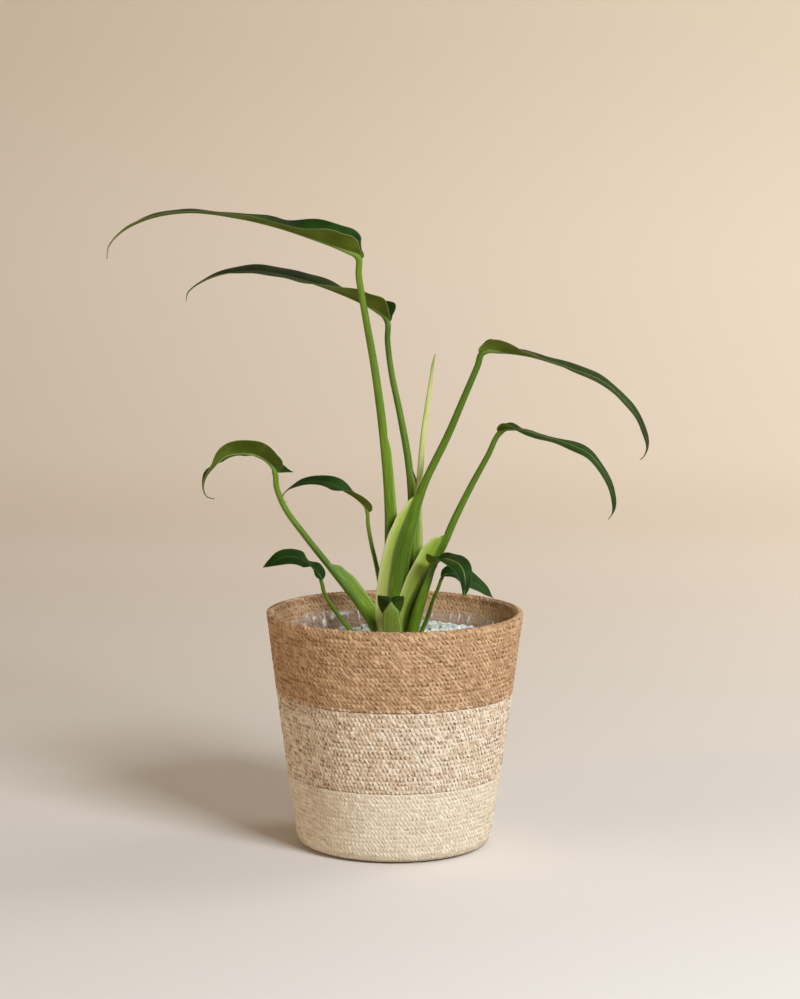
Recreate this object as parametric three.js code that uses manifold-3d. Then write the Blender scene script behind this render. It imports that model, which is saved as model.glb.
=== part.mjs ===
// A young climbing aroid with long, drooping, folded leaves, in its pot: ten leaves on sheathed stalks and
// one furled spear rise from a short rooted crown. The crown stands in soil topped with pale pumice, inside a
// film-lined basket of stitched rope in three shades.
// Millimetres, +Z up. The origin is the centre of the basket's foot, on the surface that it stands on.
// The front is -Y, and +X is to the right seen from the front.

import * as THREE from "three";
import { mergeVertices } from "three/addons/utils/BufferGeometryUtils.js";
import Module from "manifold-3d";

const wasm = await Module();
wasm.setup();

// Driving dimensions of the basket
const BASKET_HEIGHT = 182;
const FOOT_RADIUS = 75;
const MOUTH_RADIUS = 99.5;
const WALL_BULGE = 0.085;
const WALL = 6;
const FLOOR = 6;
const FLAT_FOOT_RADIUS = 66;
const COURSES = 26;
const CREAM_COURSES = 8;
const MIXED_COURSES = 9;
const ROPE_RELIEF = 1.2;
const ROUND_STEPS = 32;

// Driving dimensions of the lining, the soil and its topping
const FILM = 0.8;
const FILM_TOP = 167;
const SLACK_FILM = 9;
const SLACK_HEADING = 172;
const SOIL_TOP = 155;
const TOPPING = 1.4;
const PUMICE_STONES = 112;
const PUMICE_RADIUS = 6.2;

// Driving dimensions of the plant
const CROWN_TOP = 149;
const CROWN_BOTTOM = 108;
const CROWN_RADIUS = [[0, 7.5], [0.5, 10], [1, 5]];
const ROOTS = 6;
const ROOT_RADIUS = [[0, 2.6], [1, 1.2]];
const BLADE_THICKNESS = 1;
const RIB_DEPTH = 1.2;
const WING_THICKNESS = 0.9;
const CLEARANCE = 0.3;

// Each leaf: its heading seen from above in degrees, the stalk's route with its radius at the base and at the
// top, the sheath's wings as [share of the stalk, width], and the blade's rib with its widest half-width, its
// fold and its roll as [share of the rib, degrees], and the wave of its edges as a share of the half-width.
const LEAVES = [
  {
    name: "leaf_1_tall_left",
    heading: 188,
    stalk: {
      path: [[-2, 5, 138], [-4, 4, 190], [-4, 4, 232], [-5, 5, 266], [-9.5, 6, 318],
        [-16, 7, 366], [-23.5, 7, 408], [-28.5, 7, 438], [-29, 7, 451.5]],
      radius: [[0, 5.4], [0.5, 3.4], [1, 2.5]],
      wing: [[0, 3], [0.35, 3], [0.52, 2.2], [0.58, 0]],
    },
    blade: {
      rib: [[-29, 7, 453], [-37.5, 4, 455.5], [-57, 1, 463], [-86.5, -5, 473], [-117.5, -11, 480.5],
        [-154.5, -17, 485], [-184.5, -21, 480.5], [-205, -25, 470.5], [-214.5, -26, 460], [-216, -26, 451]],
      half: 24,
      point: 1.7,
      base: 0.3,
      lobe: [0.2, 0.05],
      fold: [[0, 54], [0.08, 45], [0.3, 13], [0.6, 7], [1, 7]],
      roll: [[0, -18], [0.12, -14], [0.3, -2], [1, 0]],
      wave: 0.02,
    },
  },
  {
    name: "leaf_2_second_left",
    heading: 163,
    stalk: {
      path: [[6, 6, 138], [10, 8, 188], [12.5, 9.5, 227], [12.5, 10, 266], [10, 12, 295],
        [3.5, 14, 331], [-3.5, 16, 364], [-6.5, 17, 388], [-7, 18, 403]],
      radius: [[0, 4.4], [0.5, 2.9], [1, 2.2]],
      wing: [[0, 6], [0.44, 6], [0.52, 3], [0.58, 0]],
    },
    blade: {
      rib: [[-7.5, 18, 404.5], [-15.5, 22, 409.5], [-30, 28, 417], [-55, 38, 426.5], [-82.5, 48, 434.5],
        [-111.5, 58, 438.5], [-136.5, 64, 435.5], [-153, 68, 429], [-163, 69, 421.5], [-165, 70, 414.5]],
      half: 20,
      point: 1.7,
      base: 0.3,
      lobe: [0.15, 0.15],
      fold: [[0, 48], [0.12, 30], [0.28, 12], [0.45, 8], [1, 6]],
      roll: [[0, 8], [0.22, 8], [0.42, -6], [1, -2]],
      wave: 0.02,
    },
  },
  {
    name: "leaf_3_tall_right",
    heading: 10,
    stalk: {
      path: [[1, -8, 138], [1, -6, 190], [3.5, -5, 213], [7, -5, 233], [13, -5, 254],
        [22.5, -5, 281], [40, -6, 318], [52.5, -7, 348], [62, -8, 371], [65.5, -8, 380.5]],
      radius: [[0, 5.4], [0.4, 4.6], [0.6, 3], [1, 2.4]],
      wing: [[0, 8.5], [0.2, 10.5], [0.3, 10.5], [0.38, 9.5], [0.44, 8], [0.5, 4], [0.54, 0]],
    },
    blade: {
      rib: [[66.5, -8, 382], [79, -6, 380.5], [102, 2, 377], [131, 10, 367.5], [157, 17, 357.5],
        [178.5, 23, 339.5], [189.5, 26, 324], [195, 28, 307], [192.5, 28, 298.5], [189, 28, 295.5]],
      half: 18,
      point: 2.2,
      base: 0.4,
      lobe: [0.1, 0.1],
      fold: [[0, 48], [0.06, 42], [0.16, 12], [0.28, 2], [1, 2]],
      roll: [[0, -8], [0.16, -2], [0.3, 6], [0.7, 12], [1, 8]],
      wave: 0.02,
    },
  },
  {
    name: "leaf_4_low_right",
    heading: -13,
    stalk: {
      path: [[5, -9, 138], [8, -12, 160], [13, -12, 187], [20, -12, 202.5], [28.5, -12, 218],
        [36, -12, 232], [45, -13, 253.5], [57, -14, 278.5], [70, -15, 303], [79.5, -16, 321]],
      radius: [[0, 4.2], [0.5, 2.9], [1, 2.1]],
      wing: [[0, 6], [0.22, 8], [0.36, 11], [0.46, 11], [0.51, 8.5], [0.56, 0]],
    },
    blade: {
      rib: [[80.5, -16, 323], [91, -19, 323], [110, -24, 318.5], [132, -30, 312.5], [147, -35, 305],
        [158.5, -39, 288], [164, -41, 272], [163.5, -42, 264], [160, -42, 258.5]],
      half: 12,
      point: 2.4,
      base: 0.4,
      lobe: [0, 0],
      fold: [[0, 34], [0.06, 22], [0.14, 2], [0.3, -2], [0.5, 2], [1, 4]],
      roll: [[0, -8], [0.1, -4], [0.2, 2], [0.3, 4], [0.6, 9], [1, 8]],
      wave: 0.05,
    },
  },
  {
    name: "leaf_5_middle_left",
    heading: 200,
    stalk: {
      path: [[-7, -6, 138], [-15.5, -7, 167], [-24, -8, 182], [-37, -10, 200], [-53.5, -12, 221.5],
        [-69, -14, 241.5], [-83.5, -16, 262], [-90, -17, 278], [-91.5, -18, 290]],
      radius: [[0, 3], [1, 2.2]],
      wing: [[0, 2.5], [0.17, 5], [0.3, 8], [0.4, 8], [0.48, 5.5], [0.53, 0]],
    },
    blade: {
      rib: [[-92.5, -18, 293.5], [-98, -20, 298], [-107, -24, 303], [-116.5, -28, 304.5], [-127.5, -33, 303],
        [-135.5, -36, 296], [-141.5, -38, 288.5], [-143.5, -39, 280.5], [-141, -40, 274], [-135.5, -40, 272.5]],
      half: 15.5,
      point: 2.2,
      base: 0.12,
      lobe: [1.2, 0],
      fold: [[0, 24], [0.6, 16], [1, 6]],
      roll: [[0, 20], [0.45, 22], [0.75, 10], [1, 2]],
      wave: 0.02,
    },
  },
  {
    name: "leaf_6_back_left",
    heading: 172,
    stalk: {
      path: [[-3, 8, 138], [-8.5, 12, 179.5], [-11, 13, 196.5], [-14.5, 14, 214.5], [-18.5, 15, 231.5],
        [-21, 16, 245.5], [-22, 16, 256]],
      radius: [[0, 2.4], [1, 1.5]],
      wing: [[0, 1.5], [0.2, 1.2], [0.35, 0]],
    },
    blade: {
      rib: [[-22.5, 16, 258], [-29.5, 17, 264.5], [-39, 18, 270.5], [-52, 20, 277], [-69, 22, 277.5],
        [-80, 24, 273], [-86.5, 25, 267.5], [-87, 25, 262.5], [-83.5, 25, 262]],
      half: 10,
      point: 2.2,
      base: 0.4,
      lobe: [0, 0.1],
      fold: [[0, 30], [0.25, 18], [0.4, 10], [1, 6]],
      roll: [[0, 14], [0.2, 10], [0.4, -24], [0.7, -14], [1, 0]],
      wave: 0.02,
    },
  },
  {
    name: "leaf_7_small_left",
    heading: 205,
    stalk: {
      path: [[-8, -4, 136], [-18, -7, 149], [-32.5, -13, 166.5], [-40.5, -16, 176.5], [-48, -18, 187.5],
        [-53.5, -19, 197], [-56.5, -20, 208]],
      radius: [[0, 2], [1, 1.5]],
      wing: [[0, 1.5], [0.3, 1.2], [0.5, 0]],
    },
    blade: {
      rib: [[-57.5, -20, 210], [-61.5, -22, 215.5], [-67.5, -24, 221.5], [-74.5, -27, 225.5], [-83, -31, 226.5],
        [-92, -35, 223.5], [-99.5, -38, 220]],
      half: 9.5,
      point: 3,
      base: 0.3,
      lobe: [0, 0],
      fold: [[0, 20], [0.3, 6], [1, 4]],
      roll: [[0, -48], [0.12, -44], [0.27, 0], [0.4, -38], [0.7, -36], [1, -20]],
      wave: 0.01,
    },
  },
  {
    name: "leaf_8_front_right",
    heading: -60,
    stalk: {
      path: [[5, -9, 136], [11, -17, 150], [15.5, -20, 176], [20, -21, 192], [25, -22, 207], [30.5, -23, 221]],
      radius: [[0, 3.6], [0.5, 4.4], [1, 2.4]],
      wing: [[0, 1.5], [0.3, 1], [0.5, 0]],
    },
    blade: {
      rib: [[31.5, -23, 223], [37.5, -26, 223.5], [44, -31, 223.5], [49.5, -37, 223], [53, -43, 220.5],
        [53.5, -47, 215], [53.5, -49.5, 208], [54, -51, 199.5]],
      half: 10.5,
      point: 2.4,
      base: 0.4,
      lobe: [0.5, 0.1],
      fold: [[0, 30], [0.25, 12], [0.5, 3], [1, 12]],
      roll: [[0, 4], [1, 0]],
      wave: 0.02,
    },
  },
  {
    name: "leaf_9_small_right",
    heading: 12,
    stalk: {
      path: [[8, -4, 136], [15, -4, 152.5], [20.5, -3, 165], [25.5, -1, 177], [29.5, 1, 189.5],
        [33.5, 2, 199], [36.5, 3, 206.5]],
      radius: [[0, 1.9], [1, 1.3]],
      wing: [[0, 1.5], [0.3, 1], [0.5, 0]],
    },
    blade: {
      rib: [[37.5, 3, 207], [42, 4, 208.5], [48.5, 7, 207.5], [56.5, 11, 203.5], [66, 15, 197.5], [77, 19, 187.5]],
      half: 9.5,
      point: 2.2,
      base: 0.2,
      lobe: [0, 0],
      fold: [[0, 14], [1, 6]],
      roll: [[0, 4], [0.35, 30], [0.8, 28], [1, 10]],
      wave: 0.02,
    },
  },
  {
    name: "leaf_10_small_front",
    heading: 90,
    stalk: {
      path: [[0, -9, 134], [-0.5, -22, 145], [-1, -27, 157], [-1.5, -30, 170], [-2.5, -33, 183.5], [-3, -34, 194]],
      radius: [[0, 2.5], [0.3, 3], [0.72, 7.8], [0.86, 6.4], [1, 1]],
      wing: [[0, 0], [1, 0]],
      flat: 0.4,
    },
    blade: {
      rib: [[-3, -32.5, 195], [-3, -30.5, 194], [-3, -28, 187], [-2.5, -26, 177], [-2, -25, 168]],
      half: 10.5,
      point: 2,
      base: 0.2,
      lobe: [0.35, 0.35],
      fold: [[0, 12], [1, 12]],
      roll: [[0, 0], [1, 0]],
      wave: 0.01,
    },
  },
];

// The furled new leaf: its route and its radius along it
const SPEAR = {
  path: [[8, 8, 146], [13, 9, 200], [15.5, 9.5, 231.5], [17, 9.5, 262.5], [19, 9, 286.5],
    [21.5, 8, 318], [25.5, 7, 348], [28, 7, 369], [30, 7, 379]],
  radius: [[0, 3.2], [0.6, 2.3], [0.94, 1.1], [1, 0.6]],
};

const COLOURS = {
  cream_rope: 0xd9c8a2,
  mixed_rope: 0xc3a67c,
  tan_rope: 0xa98252,
  film: 0xd8d2c8,
  soil: 0x2c241d,
  pumice: 0xd3ddd2,
  crown: 0x6f7f35,
  stalk: 0x6f9a2b,
  blade: 0x2f5a26,
  spear: 0xa9bd4f,
};

const degrees = THREE.MathUtils.degToRad;
const smooth = THREE.MathUtils.smoothstep;
const mix = THREE.MathUtils.lerp;

// The same numbers in the same order on every run, from 0 to 1.
function seeded(seed) {
  let state = seed;
  return () => {
    state = (state * 1664525 + 1013904223) % 4294967296;
    return state / 4294967296;
  };
}

// A reading of [place, value] pairs, eased from each to the next.
function along(pairs, place) {
  const next = pairs.findIndex(([at]) => at >= place);
  if (next < 0) return pairs[pairs.length - 1][1];
  if (next === 0) return pairs[0][1];
  const [from, low] = pairs[next - 1];
  const [to, high] = pairs[next];
  return mix(low, high, smooth(place, from, to));
}

function curveThrough(points) {
  return new THREE.CatmullRomCurve3(points.map((p) => new THREE.Vector3(...p)), false, "centripetal");
}

function solidOf(geometry) {
  const bare = geometry.clone();
  bare.deleteAttribute("normal");
  bare.deleteAttribute("uv");
  const merged = mergeVertices(bare, 1e-4);
  const triVerts = new Uint32Array(merged.index.array);
  const vertProperties = new Float32Array(merged.attributes.position.array);
  const made = new wasm.Manifold(new wasm.Mesh({ numProp: 3, vertProperties, triVerts }));
  if (made.volume() > 0) return made;
  for (let i = 0; i < triVerts.length; i += 3) {
    [triVerts[i + 1], triVerts[i + 2]] = [triVerts[i + 2], triVerts[i + 1]];
  }
  return new wasm.Manifold(new wasm.Mesh({ numProp: 3, vertProperties, triVerts }));
}

// The solid's largest body: a cut by a neighbour can leave scraps beside it.
function largest(solid) {
  const bodies = solid.decompose();
  return bodies.reduce((best, body) => (body.volume() > best.volume() ? body : best));
}

function geometryOf(solid) {
  const made = solid.getMesh();
  const count = made.numVert;
  const places = new Float32Array(count * 3);
  for (let i = 0; i < count; i++) {
    const start = i * made.numProp;
    places.set(made.vertProperties.subarray(start, start + 3), i * 3);
  }
  const geometry = new THREE.BufferGeometry();
  geometry.setAttribute("position", new THREE.BufferAttribute(places, 3));
  geometry.setIndex(new THREE.BufferAttribute(new Uint32Array(made.triVerts), 1));
  geometry.computeVertexNormals();
  return geometry;
}

// A closed skin over rings of equally many points, with a fan over each end ring.
function skin(rings) {
  const count = rings[0].length;
  const places = [];
  const faces = [];
  rings.forEach((ring) => ring.forEach((p) => places.push(p.x, p.y, p.z)));
  for (let i = 0; i + 1 < rings.length; i++) {
    for (let j = 0; j < count; j++) {
      const a = i * count + j;
      const b = i * count + ((j + 1) % count);
      faces.push(a, b, b + count, a, b + count, a + count);
    }
  }
  const capEnd = (ring, first, turned) => {
    const middle = ring.reduce((sum, p) => sum.add(p), new THREE.Vector3()).divideScalar(count);
    const centre = places.length / 3;
    places.push(middle.x, middle.y, middle.z);
    for (let j = 0; j < count; j++) {
      const a = first + j;
      const b = first + ((j + 1) % count);
      faces.push(centre, turned ? b : a, turned ? a : b);
    }
  };
  capEnd(rings[0], 0, true);
  capEnd(rings[rings.length - 1], (rings.length - 1) * count, false);
  const geometry = new THREE.BufferGeometry();
  geometry.setAttribute("position", new THREE.Float32BufferAttribute(places, 3));
  geometry.setIndex(faces);
  return geometry;
}

// The basket's wall

function wallRadius(height) {
  const share = height / BASKET_HEIGHT;
  const bowed = share + WALL_BULGE * share * (1 - share);
  return FOOT_RADIUS + (MOUTH_RADIUS - FOOT_RADIUS) * bowed;
}

const course = BASKET_HEIGHT / COURSES;
const innerRadius = (height) => wallRadius(height) - WALL;

// The outer side of a run of rope courses from the top down: a crest for each course, a valley between two.
function courseProfile(firstCourse, lastCourse, gap) {
  const points = [];
  for (let n = lastCourse; n >= firstCourse; n--) {
    const top = (n + 1) * course - (n === lastCourse ? gap : 0);
    points.push(new THREE.Vector2(wallRadius(top) - ROPE_RELIEF, top));
    points.push(new THREE.Vector2(wallRadius((n + 0.5) * course), (n + 0.5) * course));
  }
  return points;
}

function turned(profile) {
  const geometry = new THREE.LatheGeometry(profile, ROUND_STEPS);
  geometry.rotateX(Math.PI / 2);
  return geometryOf(solidOf(geometry));
}

// The coiled foot with the cream courses: a cup with a flat sole and a rounded edge.
function creamCup() {
  const top = CREAM_COURSES * course - CLEARANCE / 2;
  const profile = [
    new THREE.Vector2(0, FLOOR),
    new THREE.Vector2(innerRadius(FLOOR) - 6, FLOOR),
    new THREE.Vector2(innerRadius(FLOOR + 5), FLOOR + 5),
    new THREE.Vector2(innerRadius(top), top),
    ...courseProfile(1, CREAM_COURSES - 1, CLEARANCE / 2),
    new THREE.Vector2(wallRadius(course) - ROPE_RELIEF, course),
    new THREE.Vector2(wallRadius(0) - 1.6, 3.4),
    new THREE.Vector2(FLAT_FOOT_RADIUS + 4, 0.9),
    new THREE.Vector2(FLAT_FOOT_RADIUS, 0),
    new THREE.Vector2(0, 0),
  ];
  return turned(profile);
}

function mixedBand() {
  const first = CREAM_COURSES;
  const last = CREAM_COURSES + MIXED_COURSES - 1;
  const bottom = first * course + CLEARANCE / 2;
  const top = (last + 1) * course - CLEARANCE / 2;
  const start = new THREE.Vector2(innerRadius(bottom), bottom);
  const profile = [
    start,
    new THREE.Vector2(innerRadius(top), top),
    ...courseProfile(first, last, CLEARANCE / 2),
    new THREE.Vector2(wallRadius(bottom) - ROPE_RELIEF, bottom),
    start.clone(),
  ];
  return turned(profile);
}

// The tan courses, whose last one is the rim's round roll.
function tanBand() {
  const first = CREAM_COURSES + MIXED_COURSES;
  const last = COURSES - 2;
  const bottom = first * course + CLEARANCE / 2;
  const roll = course / 2;
  const rollCentre = new THREE.Vector2(wallRadius(BASKET_HEIGHT) + 0.5 - roll, BASKET_HEIGHT - roll);
  const start = new THREE.Vector2(innerRadius(bottom), bottom);
  const rim = [];
  for (let step = 0; step <= 6; step++) {
    const angle = degrees(200 - step * 37);
    rim.push(new THREE.Vector2(Math.cos(angle) * roll, Math.sin(angle) * roll).add(rollCentre));
  }
  const profile = [
    start,
    new THREE.Vector2(innerRadius(BASKET_HEIGHT - course), BASKET_HEIGHT - course),
    ...rim,
    ...courseProfile(first, last, 0),
    new THREE.Vector2(wallRadius(bottom) - ROPE_RELIEF, bottom),
    start.clone(),
  ];
  return turned(profile);
}

// The lining, the soil and the topping follow one outline: the wall's inside, drawn in at the upper back left,
// where the film hangs slack.

function filmRadius(height, heading) {
  const away = Math.abs(THREE.MathUtils.euclideanModulo(heading - SLACK_HEADING + 180, 360) - 180);
  const slack = SLACK_FILM * smooth(60 - away, 0, 45) * smooth(height, 118, 150);
  return innerRadius(height) - CLEARANCE - slack;
}

function roundRing(height, inset) {
  const ring = [];
  for (let n = 0; n < ROUND_STEPS; n++) {
    const heading = (n * 360) / ROUND_STEPS;
    const radius = filmRadius(height, heading) - inset;
    const angle = degrees(heading);
    ring.push(new THREE.Vector3(Math.cos(angle) * radius, Math.sin(angle) * radius, height));
  }
  return ring;
}

const FILM_HEIGHTS = [FLOOR + 6, 60, 115, 132, 145, SOIL_TOP, FILM_TOP];

function liningFilm() {
  const floor = FLOOR + CLEARANCE;
  const outside = FILM_HEIGHTS.map((height) => roundRing(height, 0));
  const inside = FILM_HEIGHTS.map((height) => roundRing(height, FILM)).reverse();
  const footOutside = roundRing(FLOOR + 6, 6.5).map((p) => p.setZ(floor));
  const footInside = roundRing(FLOOR + 6, 6.5 + FILM).map((p) => p.setZ(floor + FILM));
  return geometryOf(solidOf(skin([footOutside, ...outside, ...inside, footInside])));
}

function soilBody() {
  const inset = FILM + CLEARANCE;
  const bottom = FLOOR + 2 * CLEARANCE + FILM;
  const sides = FILM_HEIGHTS.slice(0, -1).map((height) => roundRing(height, inset)).reverse();
  const foot = roundRing(FLOOR + 6, 7 + inset).map((p) => p.setZ(bottom));
  return solidOf(skin([...sides, foot]));
}

// A pumice stone is an octahedron with its corners pushed in and out, half sunk in the layer.
function pumiceStone(random) {
  const stone = new THREE.OctahedronGeometry(PUMICE_RADIUS, 0);
  stone.deleteAttribute("normal");
  stone.deleteAttribute("uv");
  const shape = mergeVertices(stone, 1e-3);
  const corners = shape.attributes.position;
  const corner = new THREE.Vector3();
  for (let i = 0; i < corners.count; i++) {
    corner.fromBufferAttribute(corners, i).multiplyScalar(mix(0.75, 1.15, random()));
    corners.setXYZ(i, corner.x, corner.y, corner.z);
  }
  shape.rotateX(random() * Math.PI);
  shape.rotateY(random() * Math.PI);
  shape.scale(1, 1, 0.62);
  shape.rotateZ(random() * Math.PI * 2);
  return shape;
}

// The stones lie in a sunflower spiral with a little scatter, fused into a thin layer over all the soil.
function pumiceLayer() {
  const random = seeded(7);
  const bottom = SOIL_TOP + CLEARANCE;
  const inset = FILM + 3 * CLEARANCE;
  const rings = [bottom, bottom + TOPPING].map((height) => roundRing(height, inset));
  const stones = [];
  for (let n = 0; n < PUMICE_STONES; n++) {
    const angle = n * degrees(137.508) + (random() - 0.5) * 0.1;
    const heading = THREE.MathUtils.radToDeg(angle);
    const reach = filmRadius(bottom, heading) - inset - PUMICE_RADIUS * 1.15;
    const distance = reach * Math.sqrt((n + 0.5) / PUMICE_STONES) + (random() - 0.5) * 2;
    const stone = pumiceStone(random);
    stone.translate(Math.cos(angle) * distance, Math.sin(angle) * distance, bottom + TOPPING + random());
    stones.push(solidOf(stone));
  }
  const floor = roundRing(bottom, -20);
  const ceiling = floor.map((p) => p.clone().setZ(bottom + 20));
  const above = solidOf(skin([floor, ceiling]));
  return wasm.Manifold.union([solidOf(skin(rings)), ...stones]).intersect(above);
}

// The plant

// The frame of a stalk or blade at a place along its curve: ahead along the curve, side level and square to the
// heading, and over, which is square to both.
function frameAt(curve, place, side) {
  const ahead = curve.getTangentAt(place);
  const over = new THREE.Vector3().crossVectors(ahead, side).normalize();
  const level = new THREE.Vector3().crossVectors(over, ahead).normalize();
  return { centre: curve.getPointAt(place), ahead, over, level };
}

function sideOf(heading) {
  const angle = degrees(heading);
  return new THREE.Vector3(-Math.sin(angle), Math.cos(angle), 0);
}

// A stalk's cross-section: round above the sheath, and below its top a channel between two thin wings that
// point back to the plant's axis.
function stalkSection({ radius, wing, flat = 1 }, place) {
  const round = along(radius, place);
  const width = along(wing, place);
  const hollow = Math.min(width / 3, 1);
  return [
    [mix(1, 0.05, hollow) * round * flat, 0],
    [mix(0.87, 0.2, hollow) * round * flat, 0.5 * round],
    [0.6 * round * flat + width, 0.8 * round - WING_THICKNESS * hollow],
    [0.5 * round * flat + width, mix(0.87, 1, hollow) * round],
    [0, round],
    [-0.6 * round * flat, 0.8 * round],
    [-round * flat, 0],
  ];
}

// The room that a stalk takes up with its channel filled, fatter by a margin, to cut its neighbours with.
function stalkRoom({ radius, wing, flat = 1 }, place, margin) {
  const round = along(radius, place);
  const front = Math.max(round * flat, 0.6 * round * flat + along(wing, place)) + margin;
  const side = round + margin;
  const back = -round * flat - margin;
  return [[front, 0], [front, 0.5 * side], [front, side], [0.5 * front, side], [0, side], [0.75 * back, 0.87 * side],
    [back, 0]];
}

function stalkSolid(leaf, margin = 0) {
  const curve = curveThrough(leaf.stalk.path);
  const steps = Math.round(curve.getLength() / 22) + 5;
  const rings = [];
  for (let n = 0; n <= steps; n++) {
    const place = n / steps;
    const { centre, ahead, over, level } = frameAt(curve, place, sideOf(leaf.heading));
    if (n === 0) centre.addScaledVector(ahead, -margin);
    if (n === steps) centre.addScaledVector(ahead, margin);
    const half = margin > 0 ? stalkRoom(leaf.stalk, place, margin) : stalkSection(leaf.stalk, place);
    const mirrored = half.slice(1, -1).reverse();
    const whole = [...half, ...mirrored.map(([a, b]) => [a, -b])];
    rings.push(whole.map(([a, b]) => centre.clone().addScaledVector(over, a).addScaledVector(level, b)));
  }
  return solidOf(skin(rings));
}

// Half-width of a blade as a share of the widest: a round base, then a long taper into a drip tip.
function bladeOutline({ base, point }, place) {
  const rise = Math.sqrt(1 - (1 - Math.min(place / 0.24, 1)) ** 2);
  const taper = 1 - Math.max((place - 0.24) / 0.76, 0) ** point;
  return 0.04 + 0.96 * mix(base, 1, rise) * taper;
}

const ACROSS = [-1, -0.55, -0.12, 0, 0.12, 0.55, 1];

// One station of a blade, as points on its upper and lower faces. The rib's underside is on the curve. Both
// halves rise from it by the fold, bend down a little towards their edges, and turn about it by the roll. Near
// the stalk the edges sweep back into two round lobes.
function bladeStation(curve, place, leaf) {
  const { half, lobe, fold, roll, wave } = leaf.blade;
  const { centre, ahead, over, level } = frameAt(curve, place, sideOf(leaf.heading));
  const folded = degrees(along(fold, place));
  const rolled = degrees(along(roll, place));
  const width = half * bladeOutline(leaf.blade, place);
  const sweep = half * Math.max(1 - place / 0.2, 0) ** 2;
  const rib = RIB_DEPTH * (1 - place) + 0.2;
  const across = level.clone().multiplyScalar(Math.cos(rolled)).addScaledVector(over, Math.sin(rolled));
  const up = over.clone().multiplyScalar(Math.cos(rolled)).addScaledVector(level, -Math.sin(rolled));
  const faces = { upper: [], lower: [] };
  for (const s of ACROSS) {
    const far = Math.abs(s);
    const ripple = wave * half * far * far * Math.sin(place * 17 + (s > 0 ? 0 : 2));
    const lift = width * (far * Math.sin(folded) - 0.06 * far * far) + ripple;
    const point = centre.clone();
    point.addScaledVector(across, s * width * Math.cos(folded));
    point.addScaledVector(up, lift + rib);
    point.addScaledVector(ahead, -sweep * lobe[s > 0 ? 1 : 0] * far * far);
    faces.upper.push(point.clone().addScaledVector(up, BLADE_THICKNESS));
    faces.lower.push(point.clone().addScaledVector(up, s === 0 ? -rib : 0));
  }
  return faces;
}

// A blade's two faces share one pattern of triangles, and a strip closes them all round.
function bladeSolid(leaf) {
  const curve = curveThrough(leaf.blade.rib);
  const steps = Math.round(curve.getLength() / 16) + 7;
  const count = ACROSS.length;
  const places = [];
  const faces = [];
  for (let n = 0; n <= steps; n++) {
    const { upper, lower } = bladeStation(curve, mix(n / steps, smooth(n / steps, 0, 1), 0.5), leaf);
    [...upper, ...lower].forEach((p) => places.push(p.x, p.y, p.z));
  }
  const at = (n, j, below) => (n * 2 + below) * count + j;
  const quad = (a, b, c, d) => faces.push(a, b, c, a, c, d);
  for (let n = 0; n < steps; n++) {
    for (let j = 0; j + 1 < count; j++) {
      quad(at(n, j, 0), at(n + 1, j, 0), at(n + 1, j + 1, 0), at(n, j + 1, 0));
      const low = [at(n, j, 1), at(n + 1, j, 1), at(n + 1, j + 1, 1), at(n, j + 1, 1)];
      faces.push(low[0], low[2], low[1], low[0], low[3], low[2]);
    }
    quad(at(n, 0, 0), at(n, 0, 1), at(n + 1, 0, 1), at(n + 1, 0, 0));
    quad(at(n, count - 1, 1), at(n, count - 1, 0), at(n + 1, count - 1, 0), at(n + 1, count - 1, 1));
  }
  for (let j = 0; j + 1 < count; j++) {
    quad(at(0, j, 1), at(0, j, 0), at(0, j + 1, 0), at(0, j + 1, 1));
    quad(at(steps, j, 0), at(steps, j, 1), at(steps, j + 1, 1), at(steps, j + 1, 0));
  }
  const geometry = new THREE.BufferGeometry();
  geometry.setAttribute("position", new THREE.Float32BufferAttribute(places, 3));
  geometry.setIndex(faces);
  return solidOf(geometry);
}

// A tapering round rod along a curve, for the spear, the crown and the roots.
function rod(path, radius, sides, steps, margin) {
  const curve = curveThrough(path);
  const rings = [];
  for (let n = 0; n <= steps; n++) {
    const place = n / steps;
    const { centre, ahead, over, level } = frameAt(curve, place, new THREE.Vector3(0.6, 0.8, 0));
    if (n === 0) centre.addScaledVector(ahead, -margin);
    if (n === steps) centre.addScaledVector(ahead, margin);
    const round = along(radius, place) + margin;
    const ring = [];
    for (let k = 0; k < sides; k++) {
      const angle = (k / sides) * Math.PI * 2;
      const p = centre.clone().addScaledVector(over, Math.cos(angle) * round);
      ring.push(p.addScaledVector(level, Math.sin(angle) * round));
    }
    rings.push(ring);
  }
  return solidOf(skin(rings));
}

const spearSolid = (margin = 0) => rod(SPEAR.path, SPEAR.radius, 8, 14, margin);

// The crown is a short buried stem, and its roots run out and down through the soil.
function crownSolid(margin = 0) {
  const parts = [rod([[0, 0, CROWN_BOTTOM], [0, 0, CROWN_TOP]], CROWN_RADIUS, 12, 5, margin)];
  for (let n = 0; n < ROOTS; n++) {
    const angle = degrees(25 + (n * 360) / ROOTS);
    const out = (distance, height) => [Math.cos(angle) * distance, Math.sin(angle) * distance, height];
    const path = [out(3, CROWN_BOTTOM + 8), out(14, CROWN_BOTTOM - 6), out(30, 88 - 4 * (n % 3)), out(42, 52)];
    parts.push(rod(path, ROOT_RADIUS, 6, 6, margin));
  }
  return wasm.Manifold.union(parts);
}

const plant = new THREE.Group();
plant.name = "potted_plant";

function addPiece(name, geometry, colour, roughness) {
  const material = new THREE.MeshStandardMaterial({ color: colour, roughness, metalness: 0 });
  const mesh = new THREE.Mesh(geometry, material);
  mesh.name = name;
  plant.add(mesh);
}

addPiece("basket_cream_cup", creamCup(), COLOURS.cream_rope, 0.95);
addPiece("basket_mixed_band", mixedBand(), COLOURS.mixed_rope, 0.95);
addPiece("basket_tan_band", tanBand(), COLOURS.tan_rope, 0.95);
addPiece("lining_film", liningFilm(), COLOURS.film, 0.25);

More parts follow.
